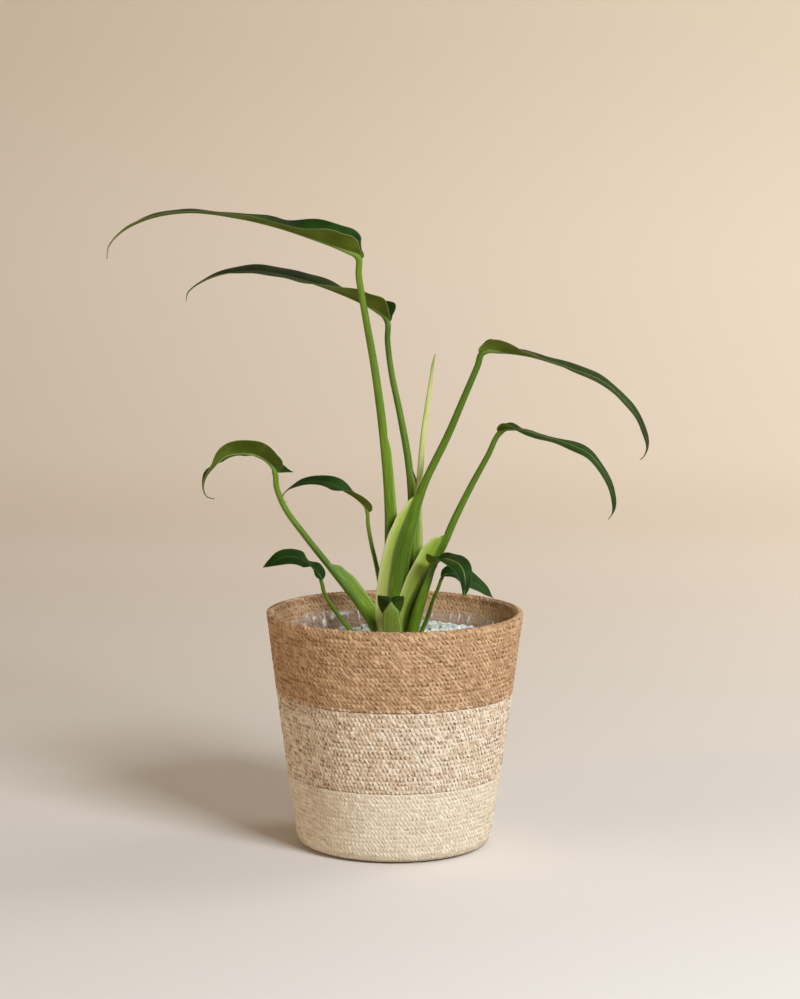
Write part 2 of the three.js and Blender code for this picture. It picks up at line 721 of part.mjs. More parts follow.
// The green pieces are placed from the plant's middle outwards. Each one is cut clear of those already
// placed, so a sheath wraps the younger stalks inside it.
const placed = [crownSolid(CLEARANCE), spearSolid(CLEARANCE)];
const spear = largest(spearSolid().subtract(placed[0]));
const stalks = new Map();
for (const number of [2, 1, 3, 6, 4, 9, 8, 5, 7, 10]) {
  const leaf = LEAVES[number - 1];
  stalks.set(leaf.name, largest(stalkSolid(leaf).subtract(wasm.Manifold.union(placed))));
  placed.push(stalkSolid(leaf, CLEARANCE));
}
const stems = wasm.Manifold.union(placed);

addPiece("soil", geometryOf(largest(soilBody().subtract(stems))), COLOURS.soil, 1);
addPiece("pumice_topping", geometryOf(largest(pumiceLayer().subtract(stems))), COLOURS.pumice, 0.85);
addPiece("crown_and_roots", geometryOf(crownSolid()), COLOURS.crown, 0.6);
addPiece("spear", geometryOf(spear), COLOURS.spear, 0.45);

for (const leaf of LEAVES) {
  const blade = largest(bladeSolid(leaf).subtract(stems));
  addPiece(leaf.name + "_stalk", geometryOf(stalks.get(leaf.name)), COLOURS.stalk, 0.4);
  addPiece(leaf.name + "_blade", geometryOf(blade), COLOURS.blade, 0.4);
}

export default plant;
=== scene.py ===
import math

import bpy
import numpy as np
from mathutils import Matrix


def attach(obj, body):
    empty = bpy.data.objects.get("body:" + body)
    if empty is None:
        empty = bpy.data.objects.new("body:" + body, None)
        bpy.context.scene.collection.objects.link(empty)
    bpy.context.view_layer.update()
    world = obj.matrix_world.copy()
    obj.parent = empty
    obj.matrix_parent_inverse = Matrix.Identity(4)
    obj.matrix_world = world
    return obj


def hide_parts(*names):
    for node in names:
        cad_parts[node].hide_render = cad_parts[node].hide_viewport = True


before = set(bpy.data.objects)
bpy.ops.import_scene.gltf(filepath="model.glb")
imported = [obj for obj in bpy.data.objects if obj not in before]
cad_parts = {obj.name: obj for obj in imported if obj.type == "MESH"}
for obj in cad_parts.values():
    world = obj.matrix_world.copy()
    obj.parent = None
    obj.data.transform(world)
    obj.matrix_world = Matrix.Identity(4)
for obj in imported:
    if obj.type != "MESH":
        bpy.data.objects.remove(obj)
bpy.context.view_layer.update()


# The basket is one stitched rope, coiled round from the centre of its foot up to the rim. The rope is a flat
# plait of dry jute, so each course shows two rows of slanting strands. It changes from undyed cream at the
# foot, through tan rope sewn with pale thread, to brown at the mouth, where the last course is a round roll.

MM = 0.001
BASKET_HEIGHT = 182
FOOT_RADIUS = 75
MOUTH_RADIUS = 99.5
WALL_BULGE = 0.085
WALL = 6
FLOOR = 6
COURSE = 7
ROW_HEIGHT = COURSE / 2
CREAM_TOP = 8 * COURSE
MIXED_TOP = 17 * COURSE
SEAM = 0.15
TUCK = 1.2
FOOT_ROWS = 22
INSET = 0.35
RIM_ROLL = 3.3
STITCHES_ROUND = 165
COLUMNS_ROUND = 4 * STITCHES_ROUND
LOOSE = 0.5


def wall_radius(height):
    """The wall's outer radius: a straight line from foot to mouth, plus a low parabola for its bulge."""
    share = height / BASKET_HEIGHT
    return FOOT_RADIUS + (MOUTH_RADIUS - FOOT_RADIUS) * (share + WALL_BULGE * share * (1 - share))


def scatter(first, second=0.0):
    """A repeatable random share from 0 to 1: what a large multiple of a sine of both numbers leaves over."""
    big = np.sin(first * 12.9898 + second * 78.233) * 43758.5453
    return big - np.floor(big)


def circle(count):
    """The angles of count even steps round, as a row."""
    return np.linspace(0, 2 * np.pi, count, endpoint=False)[None, :]


def rounds(radius, turn, height):
    """Points round the upright axis at a radius, an angle and a height."""
    return np.stack([radius * np.cos(turn), radius * np.sin(turn), height + 0 * radius], -1)


def placed(name, data):
    """A new object in the scene for this data."""
    made = bpy.data.objects.new(name, data)
    bpy.context.scene.collection.objects.link(made)
    return made


def piece(name, points, faces, values=None, smooth=True):
    """A mesh from points in millimetres and arrays of faces, which are turned if their volume is negative."""
    tris = [np.concatenate([f[:, :3], f[:, [0, 2, 3]]]) if f.shape[1] == 4 else f for f in faces]
    a, b, c = np.moveaxis(points[np.concatenate(tris)], 1, 0)
    if np.einsum("ij,ij->i", a, np.cross(b, c)).sum() < 0:
        faces = [f[:, ::-1] for f in faces]
    corners = np.concatenate([f.ravel() for f in faces])
    sizes = np.concatenate([np.full(len(f), f.shape[1]) for f in faces])
    mesh = bpy.data.meshes.new(name)
    mesh.vertices.add(len(points))
    mesh.vertices.foreach_set("co", (points * MM).astype(np.float32).ravel())
    mesh.loops.add(len(corners))
    mesh.loops.foreach_set("vertex_index", corners.astype(np.int32))
    mesh.polygons.add(len(sizes))
    mesh.polygons.foreach_set("loop_start", (np.cumsum(sizes) - sizes).astype(np.int32))
    mesh.polygons.foreach_set("use_smooth", np.full(len(sizes), smooth))
    mesh.update(calc_edges=True)
    for layer, value in (values or {}).items():
        attribute = mesh.attributes.new(layer, "FLOAT", "POINT")
        attribute.data.foreach_set("value", np.asarray(value, np.float32).ravel())
    return placed(name, mesh)


def ring_faces(rings, count, closed=False):
    """Four-sided faces between neighbouring rings of count points each, and on to the first if closed."""
    steps = rings if closed else rings - 1
    i, j = np.meshgrid(np.arange(steps), np.arange(count), indexing="ij")
    above, right = (i + 1) % rings, (j + 1) % count
    corners = [i * count + j, i * count + right, above * count + right, above * count + j]
    return np.stack(corners, -1).reshape(-1, 4)


def skin(name, rings, values=None):
    """A closed skin over rings (n, m, 3), with a fan from each end ring to its middle point."""
    n, m = rings.shape[:2]
    points = np.concatenate([rings.reshape(-1, 3), rings[:1].mean(1), rings[-1:].mean(1)])
    j = np.arange(m)
    right = (j + 1) % m
    first = np.stack([right, j, np.full(m, n * m)], -1)
    last = np.stack([(n - 1) * m + j, (n - 1) * m + right, np.full(m, n * m + 1)], -1)
    capped = {}
    for layer, value in (values or {}).items():
        value = np.broadcast_to(value, (n, m))
        capped[layer] = np.concatenate([value.ravel(), [value[0].mean(), value[-1].mean()]])
    return piece(name, points, [ring_faces(n, m), first, last], capped)


def woven(name, profile, rows, depth, lean, closed=True):
    """A plaited wall turned round the axis. Strand numbers count round it, sheared by lean for every row, so
    that the strands slant; the row numbers count up it. The relief is the product of a rounded cosine of
    both, a size of its own for each strand, and a low groove between the courses. Each profile point (radius,
    height) is pushed out along the profile's normal by the relief times its depth, and where it has any depth
    the wall wanders a little in radius. The numbers are kept as a UV map that runs on over its seam."""
    turn = circle(COLUMNS_ROUND)
    row = rows[:, None]
    strand = turn * STITCHES_ROUND / (2 * np.pi) + lean * row
    ahead = np.roll(profile, -1, 0) - np.roll(profile, 1, 0) if closed else np.gradient(profile, axis=0)
    ahead /= np.linalg.norm(ahead, axis=1, keepdims=True) + 1e-9
    normal = np.stack([ahead[:, 1], -ahead[:, 0]], -1)
    across = 0.5 + 0.5 * np.cos(2 * np.pi * (strand - LOOSE / 2 + 0.15 * np.sin(row * 5 + 9 * turn)))
    above = 0.5 + 0.5 * np.cos(2 * np.pi * (row - LOOSE / 2))
    groove = 0.12 * (np.abs(row / 2 - np.floor(row / 2) - 0.5) * 2) ** 6
    own = scatter(np.floor(strand + 0.5 - LOOSE / 2) % STITCHES_ROUND, np.floor(row + 0.5 - LOOSE / 2))
    relief = across ** 0.4 * above ** 0.3 * (0.75 + 0.25 * own) * (1 - groove)
    out = (relief - 0.75) * depth[:, None]
    radius = profile[:, :1] + normal[:, :1] * out
    height = profile[:, 1:] + normal[:, 1:] * out
    rise = np.clip(height / BASKET_HEIGHT, 0, 1)
    wander = 0.45 * np.sin(3 * turn + 0.6) + 0.25 * np.sin(7 * turn + 2 + 3 * rise)
    radius = radius + rise * wander * (depth[:, None] > 0)
    points = rounds(radius, turn, height)
    n, m = points.shape[:2]
    made = piece(name, points.reshape(-1, 3), [ring_faces(n, m, True)]) if closed else skin(name, points)
    corner = np.zeros(len(made.data.loops), np.int32)
    made.data.loops.foreach_get("vertex_index", corner)
    first = np.zeros(len(made.data.polygons), np.int32)
    made.data.polygons.foreach_get("loop_start", first)
    column = corner % m
    last = np.repeat(np.maximum.reduceat(column, first), np.diff(np.append(first, len(corner))))
    column = np.where((column == 0) & (last == m - 1), m, column)
    number = rows[np.minimum(corner // m, n - 1)]
    spread = np.stack([column * STITCHES_ROUND / m + lean * number, number], -1)
    made.data.uv_layers.new(name="weave").data.foreach_set("uv", spread.astype(np.float32).ravel())
    return made


def line(start, end, step):
    """Points from start up to, but not including, end, about step apart."""
    start, end = np.array(start, float), np.array(end, float)
    count = max(int(np.linalg.norm(end - start) / step + 0.5), 1)
    return start + (end - start) * np.arange(count)[:, None] / count


def wall_line(low, high, step, inset):
    """The wall's line between two heights, drawn in by an inset."""
    height = np.linspace(low, high, max(int(abs(high - low) / step + 0.5), 2) + 1)[:-1]
    return np.stack([wall_radius(height) - inset, height], -1)


def band_top(height):
    """The hidden top of a band, from under its outermost strands in to the wall's inside."""
    radius = wall_radius(height)
    return line((radius - TUCK, height), (radius - WALL, height - SEAM), 2)


def band_foot(height):
    """The hidden foot of the band above it, from the wall's inside out again."""
    radius = wall_radius(height)
    return line((radius - WALL, height + SEAM), (radius - TUCK, height), 2)


def stretches(*parts):
    """One profile from stretches of points, each with the depth of its relief."""
    profile = np.concatenate([points for points, _ in parts])
    return profile, np.concatenate([np.full(len(points), float(depth)) for points, depth in parts])


def along_rows(profile, start):
    """The row number at each profile point: its distance along the profile from the start, in rows."""
    step = np.linalg.norm(np.diff(profile, axis=0), axis=1)
    return (start + np.concatenate([[0], np.cumsum(step)])) / ROW_HEIGHT


class Value:
    """A number or colour in a material. Arithmetic on it adds the Math nodes that work it out."""

    def __init__(self, finish, socket):
        self.finish, self.socket = finish, socket

    def math(self, operation, *others, clamp=False):
        """This operation on the number and the others."""
        settings = {"operation": operation, "use_clamp": clamp}
        return self.finish.node("Math", settings, {i: v for i, v in enumerate((self, *others))})

    def __add__(self, other):
        return self.math("ADD", other)

    def __sub__(self, other):
        return self.math("SUBTRACT", other)

    def __rsub__(self, other):
        return self.finish.node("Math", {"operation": "SUBTRACT"}, {0: other, 1: self})

    def __mul__(self, other):
        return self.math("MULTIPLY", other)

    def __pow__(self, other):
        return self.math("POWER", other)

    def clip(self):
        """Held between 0 and 1."""
        return self.math("ADD", 0.0, clamp=True)

    def between(self, low, high):
        """0 up to low and 1 from high, eased from one to the other."""
        ends = {0: self, 1: low, 2: high, 3: 0.0, 4: 1.0}
        return self.finish.node("MapRange", {"interpolation_type": "SMOOTHSTEP"}, ends)

    __radd__ = __add__
    __rmul__ = __mul__


def linear(screen):
    """A screen colour from 0 to 255 as the linear colour that sockets hold."""
    share = np.array(screen) / 255
    return (*np.where(share > 0.04045, ((share + 0.055) / 1.055) ** 2.4, share / 12.92).tolist(), 1.0)


class Finish:
    """A material in the making. node() adds any node, from its settings and its sockets' values or links."""

    def __init__(self, name, roughness=0.5, **constants):
        self.material = bpy.data.materials.new(name)
        self.material.use_nodes = True
        self.tree = self.material.node_tree
        self.tree.nodes.clear()
        self.shader = self.tree.nodes.new("ShaderNodeBsdfPrincipled")
        self.shader.inputs["Roughness"].default_value = roughness
        for socket, value in constants.items():
            self.shader.inputs[socket.replace("_", " ")].default_value = value
        output = self.tree.nodes.new("ShaderNodeOutputMaterial")
        self.tree.links.new(self.shader.outputs[0], output.inputs[0])

    def node(self, kind, settings, inputs, output=0):
        made = self.tree.nodes.new("ShaderNode" + kind)
        for key, value in settings.items():
            setattr(made, key, value)
        for key, value in inputs.items():
            if isinstance(value, Value):
                self.tree.links.new(value.socket, made.inputs[key])
            else:
                made.inputs[key].default_value = value
        return Value(self, made.outputs[output])

    def read(self, layer):
        """The number that the piece carries in this layer."""
        return self.node("Attribute", {"attribute_name": layer}, {}, 2)

    def place(self, stretch=(1, 1, 1)):
        """The place on the piece in metres, times a stretch along each axis."""
        return self.node("Mapping", {}, {0: self.node("TexCoord", {}, {}, 3), 3: stretch})

    def part(self, vector, index):
        """One of a vector's three numbers."""
        return self.node("SeparateXYZ", {}, {0: vector}, index)

    def noise(self, size, detail=3.0, stretch=(1, 1, 1)):
        """A noise from 0 to 1 with features about size millimetres across."""
        inputs = {"Vector": self.place(stretch), "Scale": 1000 / size, "Detail": detail}
        return self.node("TexNoise", {}, inputs)

    def streaks(self, first, second, scale=1.0):
        """A noise from 0 to 1 over two numbers."""
        where = self.node("CombineXYZ", {}, {0: first, 1: second, 2: 0.0})
        return self.node("TexNoise", {}, {"Vector": where, "Scale": scale, "Detail": 3.0})

    def mix(self, share, first, second):
        """The first colour with this share of it replaced by the second; plain ones are screen colours."""
        first, second = (tint if isinstance(tint, Value) else linear(tint) for tint in (first, second))
        return self.node("Mix", {"data_type": "RGBA"}, {0: share, 6: first, 7: second}, 2)

    def layers(self, body, *coats):
        """The body's colour under coats, each a share and a colour."""
        for share, tint in coats:
            body = self.mix(share, body, tint)
        return body

    def bump(self, height, distance, strength=1.0):
        """Normals tilted by a height of 0 to 1 times a distance in millimetres."""
        return self.node("Bump", {}, {"Height": height, "Distance": distance * MM, "Strength": strength})

    def set(self, **links):
        """Joins values to the shader's sockets of these names."""
        for socket, value in links.items():
            self.tree.links.new(value.socket, self.shader.inputs[socket.replace("_", " ")])
        return self


PALE_THREAD = (214, 192, 160)
DEEP_SHADE = (36, 22, 12)
# The rows just inside below the rim, which are made paler as painted light.
PAINTED_LIGHT_ROWS = (53.5, 55.5)


def rope_finish(name, hollow, strand, pale, share, dark, thread_above=-1.0):
    """Dry jute. Loosely spaced cells on the weave's numbers, which drift a little, are the strands: each has
    its own tone, a share of them paler, a rounded top whose edges are darkened towards hollow as painted
    shade, a painted highlight along part of its top, and a dark gap along part of its edge that is painted
    shadow, as strong as dark. Fine fibres run along them, with stains and long pale streaks, and painted
    light makes the inside below the rim paler. Up to the row thread_above, some strands are the pale thread
    of the band below."""
    rope = Finish(name, 0.95, Specular_IOR_Level=0.2)
    weave = rope.node("UVMap", {"uv_map": "weave"}, {})
    number, row = rope.part(weave, 0), rope.part(weave, 1)
    stray, slack = rope.noise(8, 2) - 0.5, rope.noise(10, 2, (1, 1, 1.6)) - 0.5
    level = row + slack * 0.9
    laid = rope.node("CombineXYZ", {}, {0: number + stray * 1.6, 1: level, 2: 0.0})
    cell = {"Vector": laid, "Scale": 1.0, "Randomness": LOOSE}
    tint = rope.node("TexVoronoi", {"voronoi_dimensions": "2D"}, cell, 1)
    tone, other = (rope.node("SeparateColor", {}, {0: tint}, channel) for channel in (0, 1))
    edge = rope.node("TexVoronoi", {"voronoi_dimensions": "2D", "feature": "DISTANCE_TO_EDGE"}, cell)
    fibre = rope.streaks(number * 5.0, row * 0.9)
    body = rope.mix(tone.between(1 - share - 0.1, 1 - share + 0.1), strand, pale)
    sewn = tone.between(0.5, 0.6) * row.between(thread_above + 0.6, thread_above)
    stain = rope.noise(30, 3).between(0.5, 0.75)
    faded = rope.noise(28, 3, (1, 1, 5)).between(0.5, 0.68)
    # Among these coats, the rows inside below the rim are made paler: painted light.
    body = rope.layers(body, ((other - 0.5) * 0.3 + 0.1, hollow), (sewn, PALE_THREAD),
                       ((fibre.between(0.3, 0.7) - 0.35).clip() * 0.8, pale),
                       (fibre.between(0.5, 0.3) * 0.42, hollow), (stain * 0.18, hollow),
                       (row.between(*PAINTED_LIGHT_ROWS) * 0.5, pale), (faded * 0.3, pale))
    middle = ((level - LOOSE / 2) * math.pi).math("COSINE").math("ABSOLUTE")
    rounded = (edge + (fibre - 0.5) * 0.12 + (1.0 - middle) * 0.2).between(-0.02, 0.2)
    # Painted shade: each strand's colour is darkened towards hollow near its edges, where its rounded top
    # turns from the light.
    body = rope.mix(rounded, rope.mix(0.48, body, hollow), body)
    # Painted shadow: a dark gap along part of each strand's edge, mixed towards DEEP_SHADE as strongly as
    # dark.
    slit_shadow = edge.between(0.17, 0.06) * other.between(0.2, 0.45) * middle.between(0.4, 0.8)
    # Painted highlight: the strands' tops, away from their edges, are made paler along the fibres.
    body = rope.mix(edge.between(0.24, 0.36) * fibre.between(0.46, 0.66) * 0.45, body, pale)
    rope.set(Base_Color=rope.mix(slit_shadow * dark, body, rope.mix(0.5, hollow, DEEP_SHADE)))
    return rope.set(Normal=rope.bump(rounded + fibre * 0.5, 0.8, 0.8))


def dress(made, finish, node):
    """Gives a piece its finish and puts it in the place of its solid."""
    made.data.materials.append(finish.material)
    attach(made, "root")
    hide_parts(node)


sole = line((0, 0.4), (63, 0.03), 4.0)
bevel = line((63, 0.03), (70, 1.0), 0.9)
corner = np.array([[71.5, 1.7], [72.6, 2.3], [73.5, 3.1], [74.2, 4.0], [74.7, 5.0]])
side = wall_line(FLOOR, CREAM_TOP + 0.4, 0.82, INSET)
side[-1, 1] = CREAM_TOP
inside = wall_line(CREAM_TOP - SEAM, FLOOR + 5, 5.0, WALL)
floor_line = line((wall_radius(FLOOR) - WALL - 5, FLOOR), (0.5, FLOOR), 9.0)
profile, depth = stretches((sole, 0), (bevel, 0.25), (corner, 0.95), (side, 0.95),
                           (band_top(CREAM_TOP), 0), (inside, 0), (floor_line, 0))
foot = len(sole) + len(bevel) + len(corner)
rows = np.concatenate([along_rows(profile[:foot], 0) - FOOT_ROWS, profile[foot:, 1] / ROW_HEIGHT])
rope = rope_finish("cream rope", (180, 156, 124), (213, 196, 170), (227, 212, 187), 0.4, 0.45)
cup = woven("basket_cream", profile, rows, depth, 0.8, closed=False)
dress(cup, rope, "basket_cream_cup")

side = wall_line(CREAM_TOP, MIXED_TOP + 0.4, 0.8, INSET)
side[-1, 1] = MIXED_TOP
inside = wall_line(MIXED_TOP - SEAM, CREAM_TOP + SEAM, 5.0, WALL)
profile, depth = stretches((side, 1.35), (band_top(MIXED_TOP), 0), (inside, 0), (band_foot(CREAM_TOP), 0))
rope = rope_finish("mixed rope", (118, 86, 56), (203, 177, 147), (226, 208, 182), 0.45, 1.0)
band = woven("basket_mixed", profile, profile[:, 1] / ROW_HEIGHT, depth, 0.55)
dress(band, rope, "basket_mixed_band")

side = wall_line(MIXED_TOP, BASKET_HEIGHT - 4.2, 0.82, INSET)
turn = np.radians(np.arange(12, 188, 13))
roll_radius, roll_height = wall_radius(BASKET_HEIGHT) - 3.55, BASKET_HEIGHT - 3.6
roll = np.stack([roll_radius + RIM_ROLL * np.cos(turn), roll_height + RIM_ROLL * np.sin(turn)], -1)
shown = wall_line(BASKET_HEIGHT - 4.5, 150, 0.95, WALL - 0.2)
inside = wall_line(150, MIXED_TOP + SEAM, 5.0, WALL)
profile, depth = stretches((side, 1.3), (roll, 1.1), (shown, 0.9), (inside, 0), (band_foot(MIXED_TOP), 0))
rows = np.concatenate([side[:, 1] / ROW_HEIGHT, along_rows(profile[len(side):], side[-1, 1] + 1)])
rope = rope_finish("tan rope", (110, 77, 48), (171, 133, 96), (201, 164, 124), 0.35, 0.9,
                   MIXED_TOP / ROW_HEIGHT + 0.2)
dress(woven("basket_tan", profile, rows, depth, 0.8), rope, "basket_tan_band")


# A sheet of thin clear plastic lines the basket, so that the wet soil doesn't reach the rope. It is cut off
# below the rim, clings to the rope's inside, and is folded where it hangs slack at the back left.

FILM = 0.25
FILM_GAP = 0.3
FILM_FLOOR = 6.7
FILM_TOP = 167
FILM_ROUND = 600
SLACK_FILM = 9
SLACK_HEADING = math.radians(172)
GLINTS_ROUND = 74


def eased(value, low, high):
    """0 up to low and 1 from high, with a smooth cubic step between."""
    share = np.clip((value - low) / (high - low), 0, 1)
    return share * share * (3 - 2 * share)


def from_slack(turn):
    """The angle from the middle of the slack part, within half a turn either way."""
    return (turn - SLACK_HEADING + np.pi) % (2 * np.pi) - np.pi


def film_radius(height, turn):
    """The wall's inner radius less a gap, drawn in over the upper back left, by two eased steps."""
    away = np.degrees(np.abs(from_slack(turn)))
    slack = SLACK_FILM * eased(60 - away, 0, 45) * eased(height, 118, 150)
    return wall_radius(height) - WALL - FILM_GAP - slack


def drawn_up(turn):
    """How much higher the film's edge stands: a little all round, and more on the left."""
    return 1.8 + 3.4 * eased(-np.cos(turn), 0.1, 0.8)


def film_rings(inset):
    """The lining's rings from the middle of its floor up to its cut edge: the film's radius, less fine
    crumples that grow towards the top, and long folds in the slack part. Its edge is cut in low waves and
    drawn up."""
    turn = circle(FILM_ROUND)
    rise = np.concatenate([[0, 0, 0.2], np.linspace(0.1, 1, 26) ** 0.45])[:, None]
    height = FILM_FLOOR + inset + rise * (FILM_TOP - 7 - inset)
    upper = eased(height, 138, FILM_TOP)
    away = from_slack(turn)
    slack = eased(1.05 - np.abs(away), 0, 0.8) * eased(height, 120, 160)
    crumple = 0.35 + 0.35 * np.sin(31 * turn + 0.09 * height) * np.sin(12 * turn + 1)
    crumple = crumple + 0.15 * np.sin(67 * turn)
    fold = 0.8 + 0.8 * np.sin(away * 9 + 0.16 * (height - 150)) + 0.5 * np.sin(away * 21 - 0.3 * height)
    radius = film_radius(height, turn) - inset - upper * crumple - slack * fold
    radius[:1] *= 0.15
    radius[1:2] -= 6
    cut = 0.8 * np.sin(5 * turn + 1) + 0.6 * np.sin(11 * turn)
    return rounds(radius, turn, height + upper * (cut - 1.4 + drawn_up(turn)))


# (heading, height, rise per radian, half width, brightness) of each painted highlight along a long crease in
# the slack film.
CREASE_HIGHLIGHTS = [(2.75, 163, 9, 0.7, 0.9), (2.25, 162, -14, 0.8, 1), (2.62, 158, 4, 0.6, 0.7),
           (2.05, 165, 8, 0.7, 0.8), (2.45, 166, 22, 0.7, 0.6), (2.4, 157, -9, 0.6, 0.8),
           (2.15, 155, 16, 0.6, 0.7)]


def painted_glints(rings):
    """Painted glints, white highlights painted into the film's colour where it touches the rope: in each of
    many places round, a thin line that leans towards the back as it rises, of its own length and brightness;
    and painted highlights along long creases across the slack part."""
    turn = np.arctan2(rings[..., 1], rings[..., 0])
    height = rings[..., 2]
    place = turn * GLINTS_ROUND / (2 * np.pi) + 0.07 * np.cos(turn) * (height - 160)
    number = np.floor(place)
    aside = place - number - 0.3 - 0.4 * scatter(number, 1)
    middle = 159.5 + drawn_up(turn) + 2.5 * scatter(number, 2)
    glint = np.exp(-(aside / 0.075) ** 2 - ((height - middle) / (1.5 + 2.5 * scatter(number, 3))) ** 4)
    glint *= 0.45 + 0.55 * scatter(number, 4)
    for start, level, slope, wide, bright in CREASE_HIGHLIGHTS:
        across, along_it = (height - level - slope * (turn - start)) / wide, (turn - start) / 0.16
        crease = np.exp(-across ** 2 - along_it ** 4)
        glint = np.maximum(glint, crease * bright)
    return glint


rings = np.concatenate([film_rings(0), film_rings(FILM)[::-1]])
lining = skin("lining", rings, {"painted_glints": painted_glints(rings)})
film = Finish("clear film", 0.12, Specular_IOR_Level=0.6)
crinkle = film.noise(3.5, 3, (1, 1, 0.5))
glint = film.read("painted_glints")
cloud = film.noise(16, 2)
# Painted highlights: the glints turn the film's colour white and make it less clear.
film.set(Base_Color=film.mix(glint.between(0.1, 0.6), (218, 202, 186), (252, 250, 247)),
         Alpha=(glint * 0.85 + cloud.between(0.4, 0.7) * 0.12 + 0.1).clip(),
         Normal=film.bump(crinkle, 0.8, 0.5))
dress(lining, film, "lining_film")


# Dark, damp potting soil fills the lining to about two fingers below the rim. It is peaty and crumbly, and
# shows only as dark gaps between the pale stones. On the left it has settled lower.

SOIL_TOP = 155
SOIL_ROUND = 180


def sunken(x):
    """How far the soil has settled on the left, by an eased step."""
    return 6.0 * eased(-x, 6, 44)


def soil_rings():
    """The soil's rings: from the middle of its base, up inside the film, and in over a crumbly top."""
    turn = circle(SOIL_ROUND)
    height = np.array([7.6, 7.6, 12, 60, 115, 132, 145, 153, 154.6])[:, None] + 0 * turn
    radius = film_radius(height, turn) - 1.4 - 0.9 * eased(height, 120, 140)
    height = np.minimum(height, SOIL_TOP - 0.4 - sunken(radius * np.cos(turn)))
    radius[0] *= 0.2
    radius[1] -= 7
    share = np.linspace(0.985, 0.03, 70)[:, None]
    top = share * radius[-1]
    crumbs = 0.9 * (scatter(np.round(turn * 40), np.round(share * 60)) - 0.5)
    level = SOIL_TOP - 0.5 + crumbs - sunken(top * np.cos(turn))
    return rounds(np.concatenate([radius, top]), turn, np.concatenate([height, level]))


soil = skin("potting_soil", soil_rings())
earth = Finish("damp soil", 0.85)
crumb, speck = earth.noise(1.6, 4), earth.noise(3.2, 2)
brown = earth.mix(crumb.between(0.35, 0.7), (44, 36, 28), (92, 80, 66))
brown = earth.mix(speck.between(0.66, 0.72) * 0.7, brown, (96, 74, 50))
earth.set(Base_Color=brown, Normal=earth.bump(crumb, 1.2))
dress(soil, earth, "soil")


# A loose layer of crushed pumice lies over the soil to keep it clean. The granules are pale, sharp-cornered
# and dry, with small shadows between them.

GRANULES = 3200
PUMICE_LEVEL = SOIL_TOP + 0.6
GOLDEN_ANGLE = math.pi * (3 - 5 ** 0.5)


def granules(count, seed):
    """Stones strewn in a sunflower spiral with scatter: each is a twenty-sided ball, its corners pushed in
    and out, stretched along three axes, turned at random and set into the layer at its own height. Also
    returns each corner's tone, one for a stone."""
    random = np.random.default_rng(seed)
    gold = (1 + 5 ** 0.5) / 2
    four = np.array([[-1, gold, 0], [1, gold, 0], [-1, -gold, 0], [1, -gold, 0]])
    ball = np.concatenate([np.roll(four, n, 1) for n in range(3)]) / np.linalg.norm(four[0])
    sides = np.array([[0, 11, 5], [0, 5, 1], [0, 1, 7], [0, 7, 10], [0, 10, 11], [1, 5, 9], [5, 11, 4],
                      [11, 10, 2], [10, 7, 6], [7, 1, 8], [3, 9, 4], [3, 4, 2], [3, 2, 6], [3, 6, 8],
                      [3, 8, 9], [4, 9, 5], [2, 4, 11], [6, 2, 10], [8, 6, 7], [9, 8, 1]])
    index = np.arange(count)
    turn = index * GOLDEN_ANGLE + random.normal(0, 0.02, count)
    size = 1.3 + 1.9 * random.random(count) ** 2
    reach = film_radius(np.full(count, SOIL_TOP + 1.0), turn) - 2.2 - size
    spiral = np.sqrt((index + 0.5) / count) * (reach + 1.5)
    out = np.minimum(spiral + random.normal(0, 0.8, count), reach)
    shape = ball[None] * (0.72 + 0.42 * random.random((count, 12, 1)))
    shape = shape * (size[:, None] * (0.75 + 0.5 * random.random((count, 3))))[:, None, :]
    axes = np.linalg.qr(random.normal(size=(count, 3, 3)))[0]
    heaped = 0.7 * np.sin(out * 0.12 + 2 * np.cos(turn * 2))
    level = PUMICE_LEVEL - sunken(out * np.cos(turn)) + random.random(count) * 2.2 + heaped
    points = np.einsum("nij,nkj->nki", axes, shape) + rounds(out, turn, level)[:, None, :]
    faces = sides[None] + 12 * index[:, None, None]
    tone = np.repeat(random.random(count), 12)
    return points.reshape(-1, 3), faces.reshape(-1, 3), tone


points, faces, tone = granules(GRANULES, 11)
pumice = piece("pumice_granules", points, [faces], {"tone": tone}, smooth=False)
stone = Finish("crushed pumice", 0.9)
pore, tone = stone.noise(0.7, 3), stone.read("tone")
grey = stone.layers(stone.mix(tone, (196, 204, 194), (240, 244, 238)),
                    (tone.between(0.06, 0.03), (74, 80, 70)),
                    (pore.between(0.55, 0.75) * 0.5, (150, 152, 138)))
stone.set(Base_Color=grey, Normal=stone.bump(pore, 0.5))
dress(pumice, stone, "pumice_topping")


# The stalks spring from a short rooted crown buried in the soil. The crown is a knobbly green stem ringed by
# old leaf scars, and its few fleshy roots spread and sink through the soil.

CROWN_LOW = 108
CROWN_HIGH = 149
ROOTS = 6
STEM_ROUND = 22
STEPS_BETWEEN = 160
LEFT_TO_RIGHT = (0.6, 0.8, 0)


def mix(first, second, share):
    """The first value with this share of it replaced by the second."""
    return first + (second - first) * share


def unit(vectors):
    """Vectors divided by their own lengths."""
    return vectors / np.linalg.norm(vectors, axis=1, keepdims=True)


def along(pairs, place):
    """The value at each place, eased with a smooth cubic step from one (place, value) pair to the next."""
    pairs = np.array(pairs, float)
    index = np.clip(np.searchsorted(pairs[:, 0], place, side="right") - 1, 0, len(pairs) - 2)
    start, end = pairs[index], pairs[index + 1]
    return mix(start[..., 1], end[..., 1], eased(place, start[..., 0], end[..., 0]))


